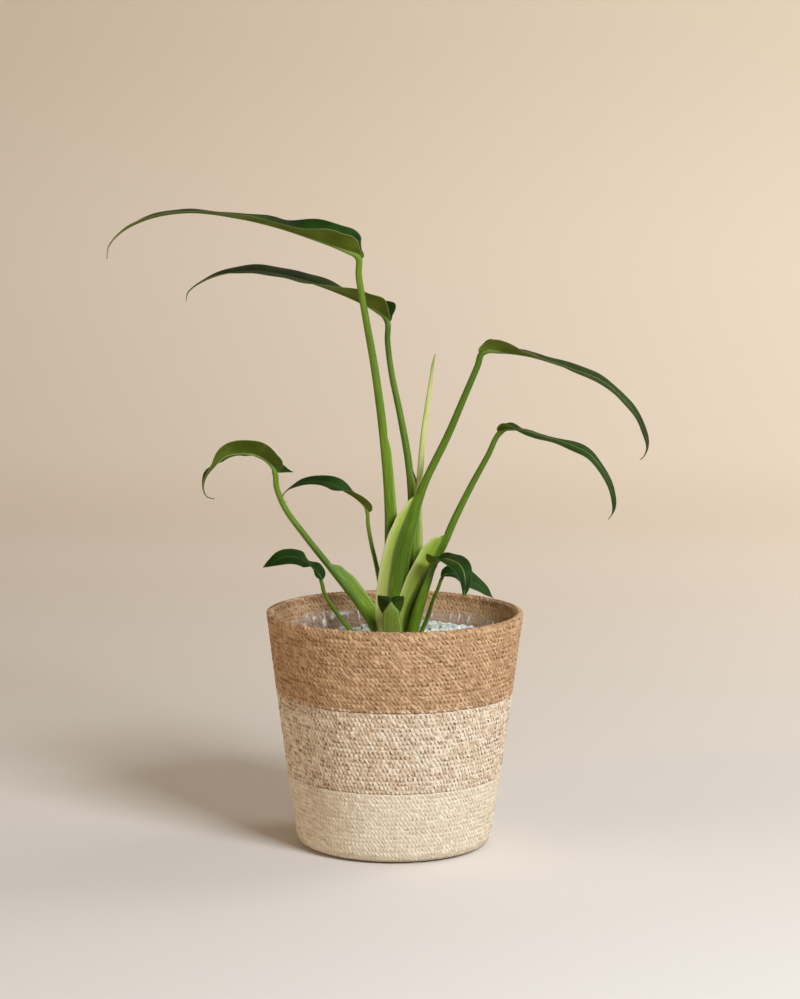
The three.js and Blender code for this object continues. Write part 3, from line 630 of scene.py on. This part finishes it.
def path_through(knots):
    """A smooth path through knots: between two knots a cubic whose slopes at its ends come from the
    neighbouring knots, each weighed by the root of its distance. Returns points close together, their share
    of the path's length and that length."""
    knots = np.array(knots, float)
    knots = np.concatenate([[2 * knots[0] - knots[1]], knots, [2 * knots[-1] - knots[-2]]])
    root = np.maximum(np.sqrt(np.linalg.norm(np.diff(knots, axis=0), axis=1)), 1e-4)[:, None]
    steps = np.diff(knots, axis=0)
    t = np.linspace(0, 1, STEPS_BETWEEN, endpoint=False)[:, None]
    pieces = []
    for n in range(1, len(knots) - 2):
        a, b, c = root[n - 1], root[n], root[n + 1]
        start = (steps[n - 1] / a - (knots[n + 1] - knots[n - 1]) / (a + b) + steps[n] / b) * b
        end = (steps[n] / b - (knots[n + 2] - knots[n]) / (b + c) + steps[n + 1] / c) * b
        pieces.append((2 * t ** 3 - 3 * t ** 2 + 1) * knots[n] + (t ** 3 - 2 * t ** 2 + t) * start
                      + (3 * t ** 2 - 2 * t ** 3) * knots[n + 1] + (t ** 3 - t ** 2) * end)
    points = np.concatenate(pieces + [knots[-2:-1]])
    length = np.concatenate([[0], np.cumsum(np.linalg.norm(np.diff(points, axis=0), axis=1))])
    return points, length / length[-1], length[-1]


def frames_along(knots, places, side):
    """The middle, over and level directions at places along a path: over is square to the path and to side,
    and level is square to the path and to over."""
    points, share, _ = path_through(knots)
    ahead = unit(np.gradient(points, axis=0))
    centre = np.stack([np.interp(places, share, points[:, k]) for k in range(3)], -1)
    ahead = unit(np.stack([np.interp(places, share, ahead[:, k]) for k in range(3)], -1))
    over = unit(np.cross(ahead, side))
    return centre, over, np.cross(over, ahead)


def swept(centre, over, level, first, second):
    """Points round a path: from each middle, first of the over direction and second of the level one."""
    return centre[:, None] + over[:, None] * first[..., None] + level[:, None] * second[..., None]


def stem(knots, radius, step, knobs):
    """Rings of a round stem along a path: circles of the radius, swollen by a sine of the length into knobs,
    which another sine makes stand out more on three sides."""
    _, _, length = path_through(knots)
    places = np.linspace(0, 1, int(length / step) + 2)
    turn = circle(STEM_ROUND)
    uneven = 0.6 + 0.4 * np.sin(3 * turn + places[:, None] * 9)
    thick = along(radius, places)[:, None] * (1 + knobs * np.sin(places * length * 1.1)[:, None] * uneven)
    frames = frames_along(knots, places, LEFT_TO_RIGHT)
    return swept(*frames, thick * np.cos(turn), thick * np.sin(turn))


def joined(name, parts):
    """One mesh of several closed skins, each a grid of rings with its own end fans."""
    made = [skin(name + str(n), rings) for n, rings in enumerate(parts)]
    bpy.ops.object.select_all(action="DESELECT")
    for part in made:
        part.select_set(True)
    bpy.context.view_layer.objects.active = made[0]
    bpy.ops.object.join()
    made[0].name = made[0].data.name = name
    return made[0]


rods = [stem([(0, 0, CROWN_LOW), (0, 0, 130), (0, 0, CROWN_HIGH)],
             [(0, 7.5), (0.5, 9.8), (0.95, 6), (1, 4.9)], 0.8, 0.05)]
for n in range(ROOTS):
    heading = math.radians(25 + 360 / ROOTS * n)
    out = np.array([math.cos(heading), math.sin(heading), 0])
    drop = 88 - 4 * (n % 3)
    knots = [out * reach + (0, 0, z) for reach, z in ((3, 116), (14, 102), (30, drop), (42, 52))]
    rods.append(stem(knots, [(0, 2.5), (1, 1.1)], 1.2, 0.04))
crown = joined("crown_roots", rods)
bark = Finish("crown", 0.6)
scar = bark.noise(4, 3, (0.3, 0.3, 1))
bark.set(Base_Color=bark.mix(scar.between(0.45, 0.65), (111, 127, 53), (120, 96, 58)),
         Normal=bark.bump(scar, 1.0))
dress(crown, bark, "crown_and_roots")


# Each leaf has a stalk that clasps the next one: low down it is a channel between two thin papery wings, the
# sheath, and above that it is round and runs on under the blade as its keel. The blade is a leathery membrane
# folded a little upwards along the midrib, set back at its base past the stalk, with a long drip tip.

# Each leaf's heading in degrees, how pale its sheath is (which also darkens the body of some stalks as
# painted shade), and its stalk's path, thickness and wing width; then its midrib's path, the blade's greatest
# half width, how late it tapers, and its fold and roll in degrees. Pairs are a share of the length and the
# value there. Where they aren't the usual: how far the stalk is turned, how flat it is, the share of the half
# width at the blade's base, its edge waves, how slowly it opens, how far the heel or ear of its two halves is
# set back, and how much of its dark top colour is painted on its underside as painted shade.
USUAL = {"turned": 0, "flat": 1, "base": 0.4, "wave": 0.02, "opens": 0.36, "heel": (0, 0), "ear": (0, 0),
         "underside_shade": 0}
LEAVES = [
    {"name": "leaf_1_tall_left", "heading": 188, "pale": 0.3,
     "path": [(-2, 5, 138), (-4, 4, 190), (-4, 4, 232), (-5, 5, 266), (-9.5, 6, 318), (-16, 7, 366),
              (-23.5, 7, 408), (-28.5, 7, 438), (-29, 7, 451.5)],
     "thick": [(0, 5.4), (0.5, 3.4), (1, 2.5)], "wing": [(0, 3), (0.35, 3), (0.52, 2.2), (0.58, 0)],
     "rib": [(-29, 7, 453), (-37.5, 4, 455.5), (-57, 1, 463), (-86.5, -5, 473), (-117.5, -11, 480.5),
             (-154.5, -17, 485), (-184.5, -21, 480.5), (-205, -25, 470.5), (-214.5, -26, 460),
             (-216, -26, 451)],
     "half": 24, "base": 0.3, "point": 2.4, "opens": 0.85, "heel": (2, 0.8),
     "fold": [(0, 25), (0.06, 46), (0.12, 43), (0.3, 15), (0.55, 9), (1, 12)],
     "roll": [(0, 1), (0.12, -12), (0.3, -4), (0.5, -1), (0.8, 0), (1, 2)]},
    {"name": "leaf_2_second_left", "heading": 163, "pale": 0.75,
     "path": [(6, 6, 138), (10, 8, 188), (12.5, 9.5, 227), (12.5, 10, 266), (10, 12, 295), (3.5, 14, 331),
              (-3.5, 16, 364), (-6.5, 17, 388), (-7, 18, 403)],
     "thick": [(0, 4.4), (0.5, 2.9), (1, 2.2)], "wing": [(0, 6), (0.44, 6), (0.52, 3), (0.58, 0)],
     "rib": [(-7.5, 18, 404.5), (-15.5, 22, 409.5), (-30, 28, 417), (-55, 38, 426.5), (-82.5, 48, 434.5),
             (-111.5, 58, 438.5), (-136.5, 64, 435.5), (-153, 68, 429), (-163, 69, 421.5),
             (-165, 70, 414.5)],
     "half": 20, "base": 0.3, "point": 2.8, "opens": 0.7, "heel": (1.15, 1.05),
     "fold": [(0, 22), (0.06, 40), (0.12, 30), (0.28, 12), (0.45, 8), (1, 12)],
     "roll": [(0, 8), (0.22, 8), (0.42, -6), (0.7, -9), (1, -14)]},
    {"name": "leaf_3_tall_right", "heading": 10, "pale": 0.95, "turned": -24,
     "path": [(1, -8, 138), (1, -6, 190), (3.5, -5, 213), (7, -5, 233), (13, -5, 254), (22.5, -5, 281),
              (40, -6, 318), (52.5, -7, 348), (62, -8, 371), (65.5, -8, 380.5)],
     "thick": [(0, 6.2), (0.18, 6.8), (0.32, 6.8), (0.6, 3), (1, 2.4)],
     "wing": [(0, 8.5), (0.2, 10.5), (0.3, 10.5), (0.38, 9.5), (0.44, 8), (0.5, 4), (0.54, 0)],
     "rib": [(66.5, -8, 382), (79, -6, 380.5), (102, 2, 377), (131, 10, 367.5), (157, 17, 357.5),
             (178.5, 23, 339.5), (189.5, 26, 324), (195, 28, 307), (192.5, 28, 298.5), (189, 28, 295.5)],
     "half": 17, "point": 2.9, "opens": 0.7, "heel": (0.75, 0.75),
     "fold": [(0, 48), (0.06, 42), (0.16, 14), (0.28, 8), (0.5, 6), (1, 2)],
     "roll": [(0, -8), (0.16, 0), (0.3, 7), (0.5, 13), (0.7, 20), (0.85, 25), (1, 26)]},
    {"name": "leaf_4_low_right", "heading": -13, "pale": 0.78,
     "path": [(5, -9, 138), (8, -12, 160), (13, -12, 187), (20, -12, 202.5), (28.5, -12, 218),
              (36, -12, 232), (45, -13, 253.5), (57, -14, 278.5), (70, -15, 303), (79.5, -16, 321)],
     "thick": [(0, 4.2), (0.5, 2.9), (1, 2.1)],
     "wing": [(0, 6), (0.22, 8), (0.36, 11), (0.46, 11), (0.51, 8.5), (0.56, 0)],
     "rib": [(80.5, -16, 323), (91, -19, 323), (110, -24, 318.5), (132, -30, 312.5), (147, -35, 305),
             (158.5, -39, 288), (164, -41, 272), (163.5, -42, 264), (160, -42, 258.5)],
     "half": 12, "point": 2.4, "wave": 0.05, "opens": 0.7, "heel": (0.2, 0.2),
     "fold": [(0, 34), (0.06, 22), (0.14, 2), (0.3, -2), (0.5, 2), (1, 4)],
     "roll": [(0, -8), (0.1, -4), (0.2, 2), (0.3, 4), (0.6, 9), (1, 8)]},
    {"name": "leaf_5_middle_left", "heading": 200, "pale": 0.15,
     "path": [(-7, -6, 138), (-15.5, -7, 167), (-24, -8, 182), (-37, -10, 200), (-53.5, -12, 221.5),
              (-69, -14, 241.5), (-83.5, -16, 262), (-90, -17, 278), (-91.5, -18, 290)],
     "thick": [(0, 3), (1, 2.2)], "wing": [(0, 2.5), (0.17, 5), (0.3, 8), (0.4, 8), (0.48, 5.5), (0.53, 0)],
     "rib": [(-92.5, -18, 293.5), (-98, -20, 298), (-107, -24, 303), (-116.5, -28, 304.5),
             (-127.5, -33, 303), (-135.5, -36, 296), (-141.5, -38, 288.5), (-143.5, -39, 280.5),
             (-141, -40, 274), (-135.5, -40, 272.5)],
     "half": 16, "base": 0.12, "point": 2.2, "wave": 0.04, "ear": (0.85, 0), "underside_shade": 0.3,
     "fold": [(0, 24), (0.6, 16), (1, 6)],
     "roll": [(0, 4), (0.1, 8), (0.3, 30), (0.5, 34), (0.75, 14), (1, 2)]},
    {"name": "leaf_6_back_left", "heading": 172, "pale": 0.2,
     "path": [(-3, 8, 138), (-8.5, 12, 179.5), (-11, 13, 196.5), (-14.5, 14, 214.5), (-18.5, 15, 231.5),
              (-21, 16, 245.5), (-22, 16, 256)],
     "thick": [(0, 2.4), (1, 1.5)], "wing": [(0, 1.5), (0.2, 1.2), (0.35, 0)],
     "rib": [(-22.5, 16, 258), (-29.5, 17, 264.5), (-39, 18, 270.5), (-52, 20, 277), (-69, 22, 277.5),
             (-80, 24, 273), (-86.5, 25, 267.5), (-87, 25, 262.5), (-83.5, 25, 262)],
     "half": 10, "point": 2.2, "ear": (0, 0.1),
     "fold": [(0, 30), (0.25, 18), (0.4, 10), (1, 6)],
     "roll": [(0, 14), (0.2, 10), (0.4, -24), (0.7, -14), (1, 0)]},
    {"name": "leaf_7_small_left", "heading": 205, "pale": 0.2,
     "path": [(-8, -4, 136), (-18, -7, 149), (-32.5, -13, 166.5), (-40.5, -16, 176.5), (-48, -18, 187.5),
              (-53.5, -19, 197), (-56.5, -20, 208)],
     "thick": [(0, 2), (1, 1.5)], "wing": [(0, 1.5), (0.3, 1.2), (0.5, 0)],
     "rib": [(-57.5, -20, 210), (-61.5, -22, 215.5), (-67.5, -24, 221.5), (-74.5, -27, 225.5),
             (-83, -31, 226.5), (-92, -35, 223.5), (-99.5, -38, 220)],
     "half": 9.5, "base": 0.3, "point": 3, "wave": 0.01,
     "fold": [(0, 20), (0.3, 6), (1, 4)],
     "roll": [(0, -48), (0.14, -44), (0.29, -14), (0.42, -38), (0.7, -36), (1, -20)]},
    {"name": "leaf_8_front_right", "heading": -60, "pale": 0.5,
     "path": [(5, -9, 136), (11, -17, 150), (15.5, -20, 176), (20, -21, 192), (25, -22, 207),
              (30.5, -23, 221)],
     "thick": [(0, 3.6), (0.5, 4.4), (1, 2.4)], "wing": [(0, 1.5), (0.3, 1), (0.5, 0)],
     "rib": [(31.5, -23, 223), (37, -27, 224.5), (43, -33, 224.5), (48.5, -40, 222.5), (51.5, -45, 218),
             (52.5, -48, 212), (52.5, -49.5, 206), (51.5, -51, 199.5)],
     "half": 12.5, "point": 1.3, "ear": (0.5, 0.1),
     "fold": [(0, 30), (0.25, 12), (0.5, 3), (1, 12)], "roll": [(0, 4), (1, 0)]},
    {"name": "leaf_9_small_right", "heading": 12, "pale": 0.1,
     "path": [(8, -4, 136), (15, -4, 152.5), (20.5, -3, 165), (25.5, -1, 177), (29.5, 1, 189.5),
              (33.5, 2, 199), (36.5, 3, 206.5)],
     "thick": [(0, 1.9), (1, 1.3)], "wing": [(0, 1.5), (0.3, 1), (0.5, 0)],
     "rib": [(37.5, 3, 207), (42, 4, 208.5), (48.5, 7, 207.5), (56.5, 11, 203.5), (66, 15, 197.5),
             (77, 19, 187.5)],
     "half": 9.5, "base": 0.2, "point": 2.2,
     "fold": [(0, 14), (1, 6)], "roll": [(0, 10), (0.35, 46), (0.8, 42), (1, 15)]},
    {"name": "leaf_10_small_front", "heading": 90, "pale": 1.15, "flat": 0.4,
     "path": [(0, -9, 134), (-0.5, -22, 145), (-1, -27, 157), (-1.5, -30, 170), (-2.5, -33, 183.5),
              (-3, -34, 194)],
     "thick": [(0, 2.5), (0.3, 3), (0.72, 7.8), (0.86, 6.4), (1, 1)], "wing": [(0, 0), (1, 0)],
     "rib": [(-3, -32.5, 195), (-3, -30.5, 195), (-3, -28.5, 190), (-2.5, -27, 183), (-2, -26, 176)],
     "half": 10.5, "base": 0.2, "point": 2, "wave": 0.01, "ear": (0.08, 0.08), "underside_shade": 0.65,
     "fold": [(0, 12), (1, 12)], "roll": [(0, 0), (1, 0)]}
]
WING_THICKNESS = 0.7
WING_ROOT = 0.6
RIB_DEPTH = 1.2
CLASP = 0.8
KEEL = [(0, 1), (0.04, 0.62), (0.12, 0.42), (0.5, 0.26), (0.9, 0.12)]
STALK_STEP = 1.9
BLADE_STEP = 1.5
ACROSS = 37
WIDEST = 0.24
VEIN_GAP = 4.3
VEIN_LEAN = 1.25
HEEL_REACH = 0.15


def square_to(heading):
    """The level direction square to a heading."""
    return np.array([-math.sin(heading), math.cos(heading), 0])


def stalk_section(thick, width, flat):
    """Half of a stalk's section as (over, level) points from the front round to the back, for each ring. The
    outer side is half a circle, which steps in a little to a thin wing; the inner side is a quarter ellipse,
    the channel, or the rest of the circle where there are no wings."""
    thick, width, flat = thick[:, None], width[:, None], flat[:, None]
    hollow = np.minimum(width / 3, 1)
    tip, top = WING_ROOT * thick * flat + width, 0.8 * thick
    nose = WING_THICKNESS / 2 * hollow
    t = np.linspace(0, 1, 12)[None, :]
    bottom = 0.1 * thick * flat
    channel = tip - (tip - bottom) * np.cos(np.pi / 2 * t ** 0.8)
    wall = (top - 2 * nose) * np.sin(np.pi / 2 * t ** 0.8)
    turn = t * math.acos(WING_ROOT)
    round_front = thick * flat * np.cos(turn), thick * np.sin(turn)
    front = np.stack([mix(round_front[0], channel, hollow), mix(round_front[1], wall, hollow)], -1)
    bend = np.radians([-60, 0, 60])[None, :]
    end = np.stack([tip + nose * np.cos(bend), top - nose + nose * np.sin(bend)], -1)
    t = np.linspace(1, 0, 11)[None, :]
    shoulder = 1 - 0.26 * eased(tip * t / thick, 0.45, 1.05) + 0.06 * t
    wing = np.stack([tip * t, mix(np.sqrt(1 - (WING_ROOT * t) ** 2), shoulder, hollow) * thick], -1)
    turn = np.radians(np.linspace(100, 180, 9))[None, :]
    back = np.stack([thick * flat * np.cos(turn), thick * np.sin(turn)], -1)
    return np.concatenate([front, end, wing, back], 1)


def stalk_rings(leaf):
    """A stalk's rings: its section carried along its path and on under the blade's midrib, where it thins to
    the keel. Also returns each point's length along the stalk, place round the section, shares of edge, wing
    and keel, and how pale the sheath is."""
    flat = leaf["flat"]
    heading = math.radians(leaf["heading"] + leaf["turned"])
    _, _, stalk_length = path_through(leaf["path"])
    knots = leaf["path"] + leaf["rib"][1:]
    _, _, whole = path_through(knots)
    places = np.linspace(0, 1, int(whole / STALK_STEP))
    centre, over, level = frames_along(knots, places, square_to(heading))
    place = np.clip(places * whole / stalk_length, 0, 1)
    past = np.clip((places * whole - stalk_length) / (whole - stalk_length), 0, 1)
    thick = along(leaf["thick"], place) * along(KEEL, past)
    width = along(leaf["wing"], place) * (1 + 0.025 * np.sin(places * 31 + heading * 5))
    half = stalk_section(thick, width, flat + (1 - flat) * past)
    section = np.concatenate([half, (half * (1, -1))[:, -2:0:-1]], 1)
    lift = (np.minimum(thick, 0.7) * eased(past, 0, 0.05))[:, None, None] * over[:, None]
    rings = swept(centre, over, level, section[..., 0], section[..., 1]) + lift
    reach = section[..., 0] / (WING_ROOT * thick * flat + width + 0.1)[:, None]
    hollow = np.minimum(width / 3, 1)[:, None]
    edge = eased(reach, 0.5, 1.0) * hollow
    wing = eased(section[..., 0] / thick[:, None], 0.75, 1.0) * hollow
    count = section.shape[1]
    values = {"along": (places * whole)[:, None], "around": np.arange(count)[None, :] / count * 30,
              "edge": edge, "wing": wing, "pale": leaf["pale"], "keel": eased(past, 0, 0.06)[:, None]}
    return rings, values


def blade_rings(leaf, seed):
    """A blade's rings. At each place along the midrib its half width rises as a quarter circle over the first
    quarter and falls as one less a power of the distance to the tip, and at the stalk it opens from next to
    nothing by an eased step. Each half is lifted by the fold, by waves in its edge and by low pillows between
    its veins, and both are turned by the roll. Near the stalk the edges are set back level, more than the
    middle, by the heel or the ear of that half."""
    heading = math.radians(leaf["heading"])
    away = np.array([-math.cos(heading), -math.sin(heading), 0])
    before, last = np.array(leaf["path"][-2:], float)
    start = last - (last - before) / np.linalg.norm(last - before) * CLASP
    path = [tuple(start)] + leaf["rib"]
    _, _, length = path_through(path)
    t = np.linspace(0, 1, int(length / BLADE_STEP) + 8)
    p = 0.6 * t + 0.4 * t * t
    centre, over, level = frames_along(path, p, square_to(heading))
    rise = np.sqrt(1 - (1 - np.minimum(p / WIDEST, 1)) ** 2)
    taper = 1 - np.maximum((p - WIDEST) / (1 - WIDEST), 0) ** leaf["point"]
    half = leaf["half"] * (0.04 + 0.96 * mix(leaf["base"], 1, rise) * taper)
    half = (half * mix(0.07, 1, eased(p * length, -1, leaf["opens"] * leaf["half"])))[:, None]
    roll, fold = (np.radians(along(leaf[bend], p))[:, None] for bend in ("roll", "fold"))
    across = level * np.cos(roll) + over * np.sin(roll)
    up = over * np.cos(roll) - level * np.sin(roll)
    even = np.linspace(-1, 1, ACROSS)[None, :]
    s = 0.6 * np.sin(even * np.pi / 2) + 0.4 * even
    p = p[:, None]
    rib = RIB_DEPTH * (1 - p) + 0.2
    wave = leaf["wave"] * leaf["half"] * s ** 2 * np.sin(17 * p + np.where(s > 0, 0, 2))
    ripple = 0.25 * s ** 4 * np.sin(p * length * 0.21 + seed * 2 + s) * np.minimum(taper[:, None] * 3, 1)
    vein = (p * length - np.abs(s) * half * VEIN_LEAN) / VEIN_GAP
    ridge = np.abs(np.sin(np.pi * vein + 0.8 * np.sign(s))) ** 5
    pillow = 0.16 * (1 - ridge) * np.sin(np.pi * np.minimum(np.abs(s), 1)) ** 0.6
    pillow = pillow * np.minimum(half / 6, 1)
    groove = -0.5 * np.exp(-(s * half / 1.1) ** 2) * (1 - p)
    lift = half * (np.abs(s) * np.sin(fold) - 0.06 * s ** 2) + wave + ripple + pillow + groove
    ear, heel = (np.where(s > 0, leaf[part][1], leaf[part][0]) for part in ("ear", "heel"))
    back = (leaf["half"] * ear + half * heel) * np.maximum(1 - p / HEEL_REACH, 0) ** 2 * s ** 2
    middle = swept(centre, across, up, s * half * np.cos(fold), lift + rib) + away * back[..., None]
    thick = (0.3 + 0.3 * (1 - np.abs(s))) * np.minimum(half / 3, 1)
    top = middle + up[:, None] * (thick / 2)[..., None]
    under = middle - up[:, None] * (thick / 2)[..., None]

    def both(value):
        """A value given across the upper face, and back across the lower one."""
        value = np.broadcast_to(value, (len(t), ACROSS))
        return np.concatenate([value, value[:, -2:0:-1]], 1)

    below = np.concatenate([np.zeros((1, ACROSS)), np.ones((1, ACROSS - 2))], 1)
    # A leaf's share of underside shade gives its underside that share of the dark top colour: painted shade.
    values = {"side": both(s), "half": both(s * half), "share": both(p), "vein": both(vein),
              "under": below * (1 - leaf["underside_shade"])}
    return np.concatenate([top, under[:, -2:0:-1]], 1), values


def stalk_finish():
    """Fleshy green, glossy and finely streaked lengthwise, paler in the channel, with papery wing edges that
    turn straw and brown low down. Stalks whose pale is middling get a darker body, which is painted shade."""
    green = Finish("leaf stalk", 0.36, Specular_IOR_Level=0.25, Subsurface_Weight=0.12,
                   Subsurface_Radius=(0.4, 1.0, 0.15), Subsurface_Scale=2 * MM)
    around, length, edge = green.read("around"), green.read("along"), green.read("edge")
    streak = green.streaks(around, length * 0.03, 2.2)
    patch = green.noise(34, 2, (1, 1, 0.5))
    wing, pale = green.read("wing"), green.read("pale")
    # The layer weighted by pale near 0.9 is painted shade, darkening the bodies of the stalks that stand in
    # shade.
    body = green.layers(green.mix(streak.between(0.35, 0.7), (80, 106, 12), (108, 134, 24)),
                        (patch.between(0.4, 0.68) * 0.6, (58, 86, 12)),
                        ((pale - 0.6).clip() * (1.2 - pale).clip() * 4.5, (44, 70, 6)),
                        (green.read("keel") * 0.4, (112, 126, 62)))
    low = length.between(105, 45) * (pale - 0.6).clip()
    sheath = green.layers(green.mix(streak.between(0.3, 0.7), (112, 142, 20), (138, 164, 36)),
                          (pale * (edge * 0.8 + 0.2), (176, 188, 104)), (low * 1.6, (170, 162, 104)))
    papery = green.mix(patch.between(0.42, 0.6), (176, 190, 110), (190, 180, 138))
    body = green.layers(body, ((wing * (pale * 0.75 + 0.25) + (pale - 1.0).clip()).clip(), sheath),
                        (edge ** 6.0 * (pale * 0.6 + 0.2), papery))
    dry = (edge - 0.55).clip() * (streak + 0.25) * length.between(40, 14) * 2.2
    return green.set(Base_Color=green.mix(dry.clip(), body, (104, 78, 44)), Roughness=streak * 0.2 + 0.26,
                     Normal=green.bump(streak, 0.35, 0.6))


def blade_finish():
    """Leathery: dark glossy green above with a pale midrib and fine pale cross veins, matt olive below, with
    a thin pale rim and a yellow drip tip. Some undersides take a share of the dark top colour as painted
    shade."""
    leaf = Finish("leaf blade", 0.3, Specular_IOR_Level=0.06, Subsurface_Weight=0.06,
                  Subsurface_Radius=(0.4, 1.0, 0.1), Subsurface_Scale=1 * MM)
    side, half, under = leaf.read("side"), leaf.read("half"), leaf.read("under")
    share, vein = leaf.read("share"), leaf.read("vein")
    distance, out = half.math("ABSOLUTE"), side.math("ABSOLUTE")
    cell = leaf.noise(1.1, 3)
    patch = leaf.noise(22, 2)
    ribs = (vein * math.pi).math("SINE").math("ABSOLUTE")
    branch = ribs.between(0.16, 0.0) * out.between(1.0, 0.85) * 0.5
    top = leaf.mix(patch.between(0.35, 0.7), (20, 40, 7), (33, 58, 14))
    top = leaf.mix(branch * 0.35, top, (78, 104, 50))
    below = leaf.mix(patch.between(0.35, 0.7), (80, 93, 20), (98, 110, 36))
    below = leaf.mix(branch * 0.4, below, (124, 134, 76))
    midrib = distance.between(0.75, 0.35) * share.between(1.0, 0.5) * (under * 0.3 + 0.3)
    ripe = (share + (patch - 0.5) * 0.06).between(0.94, 1.0)
    body = leaf.layers(leaf.mix(under, top, below), ((cell - 0.45) * 0.3, (40, 60, 16)),
                       (midrib, leaf.mix(under, (72, 100, 44), (136, 148, 88))),
                       (out.between(0.965, 0.99) * 0.5, (136, 146, 84)), (ripe * 0.5, (168, 152, 62)))
    return leaf.set(Base_Color=body, Roughness=under * 0.16 + cell * 0.14 + 0.42,
                    Normal=leaf.bump(cell + ribs.between(0.3, 0.0) * 0.6, 0.16, 0.7))


fleshy, leathery = stalk_finish(), blade_finish()
for number, leaf in enumerate({**USUAL, **leaf} for leaf in LEAVES):
    rings, values = stalk_rings(leaf)
    dress(skin(leaf["name"] + ".stalk", rings, values), fleshy, leaf["name"] + "_stalk")
    rings, values = blade_rings(leaf, number)
    dress(skin(leaf["name"] + ".blade", rings, values), leathery, leaf["name"] + "_blade")


# The newest leaf is still rolled up: a slender pointed spear of pale, yellowish green, whose one free edge
# winds up it in a long spiral. It rises from the sheath of the tall leaf on the right.

SPEAR = [(8, 8, 146), (13, 9, 200), (15.5, 9.5, 231.5), (17, 9.5, 262.5), (19, 9, 286.5), (21.5, 8, 318),
         (25.5, 7, 348), (28, 7, 369), (30, 7, 379)]
SPEAR_RADIUS = [(0, 3.2), (0.6, 2.5), (0.84, 1.9), (0.96, 1.1), (1, 0.4)]
FREE_EDGE = [(0, 0.1), (0.3, 0.28), (0.9, 0.22), (1, 0.05)]
SPEAR_ROUND = 48


def spear_rings():
    """The spear's rings: a spiral section, whose radius grows by a thin step once round, and which turns as
    it rises."""
    _, _, length = path_through(SPEAR)
    places = np.linspace(0, 1, int(length))
    turn = circle(SPEAR_ROUND) / (2 * np.pi)
    step = along(FREE_EDGE, places)[:, None]
    swell = turn ** 0.55 * (1 - eased(turn, 0.975, 1.0))
    radius = along(SPEAR_RADIUS, places)[:, None] - step + step * swell
    angle = (2.2 - places * 3.4)[:, None] + turn * 2 * np.pi
    frames = frames_along(SPEAR, places, LEFT_TO_RIGHT)
    rings = swept(*frames, radius * np.cos(angle), radius * np.sin(angle))
    return rings, {"turn": turn, "share": places[:, None], "along": (places * length)[:, None]}


rings, values = spear_rings()
spear = skin("rolled_spear", rings, values)
young = Finish("young leaf", 0.35, Subsurface_Weight=0.15, Subsurface_Radius=(0.5, 1.0, 0.2),
               Subsurface_Scale=2 * MM)
turn, share, length = young.read("turn"), young.read("share"), young.read("along")
streak = young.streaks(turn * 9.0, length * 0.03, 2.0)
body = young.layers(young.mix(streak.between(0.35, 0.7), (168, 176, 96), (190, 196, 124)),
                    (share.between(0.86, 1.0), (128, 138, 52)),
                    (turn.between(0.86, 0.95) * 0.7, (140, 110, 64)))
young.set(Base_Color=body, Normal=young.bump(streak, 0.3, 0.5))
dress(spear, young, "spear")


# The stage is a sheet of pale paper on the floor, bent up behind as a backdrop. One soft lamp stands in front
# on the right, a weaker warm one on the left, a third lights the backdrop, and some light is all round.

SWEEP = [(-9000, 0), (-3000, 0), (900, 0), (1500, 0), (2100, 60), (2500, 300), (2700, 700),
         (2750, 1400), (2750, 4000)]
HALF_SWEEP = 6000.0
bend, _, _ = path_through([(0, y, z) for y, z in SWEEP])
bend = bend[::8]
wide = np.array([-HALF_SWEEP, HALF_SWEEP])
sheet = np.stack(np.broadcast_arrays(wide[None, :], bend[:, 1:2], bend[:, 2:3]), -1).reshape(-1, 3)
left = np.arange(len(bend) - 1) * 2
quads = np.stack([left, left + 1, left + 3, left + 2], -1)
paper = piece("paper_sweep", sheet, [quads])
pale = Finish("pale paper", 0.8)
# Painted light and shade: further back the paper is painted warmer and brighter, and high up the backdrop
# darker, standing in for how the light falls there.
far, high = pale.part(pale.place(), 1).between(0.1, 2.2), pale.part(pale.place(), 2).between(0.0, 0.9)
grain = pale.noise(900, 2)
near_paper = pale.mix(grain, (208, 201, 191), (214, 207, 198))
pale.set(Base_Color=pale.mix(far, near_paper, pale.mix(high, (240, 228, 212), (222, 208, 188))))
paper.data.materials.append(pale.material)


def soft_lamp(name, size, power, tint, place, target=(0, 0, 0.2)):
    """A square lamp facing a target."""
    lamp = bpy.data.lights.new(name, "AREA")
    lamp.size = size
    lamp.energy = power
    lamp.color = tint
    made = placed(name, lamp)
    made.location = place
    aim = np.array(place) - target
    made.rotation_euler = (math.atan2(math.hypot(aim[0], aim[1]), aim[2]), 0, math.atan2(aim[0], -aim[1]))


soft_lamp("window", 0.8, 67, (0.83, 0.9, 1.0), (1.12, -1.5, 1.35))
soft_lamp("room", 1.6, 19, (1.0, 0.84, 0.68), (-2.0, -0.9, 0.6))
soft_lamp("backdrop lamp", 1.6, 27, (1.0, 0.95, 0.89), (1.6, 0.9, 1.4), (-0.1, 2.3, 0.0))
world = bpy.data.worlds.new("room light")
bpy.context.scene.world = world
world.use_nodes = True
world.node_tree.nodes["Background"].inputs[0].default_value = (1.0, 0.78, 0.56, 1.0)
world.node_tree.nodes["Background"].inputs[1].default_value = 0.17
bpy.context.scene.view_settings.view_transform = "Standard"

lens = bpy.data.cameras.new("camera")
lens.lens = 94.85
lens.sensor_width = 36
lens.clip_end = 60
camera = placed("camera", lens)
camera.location = (0.0036, -2.0, 0.524)
camera.rotation_mode = "ZYX"
camera.rotation_euler = (math.pi / 2 - 0.1276, 0, 0.0045)
bpy.context.scene.camera = camera
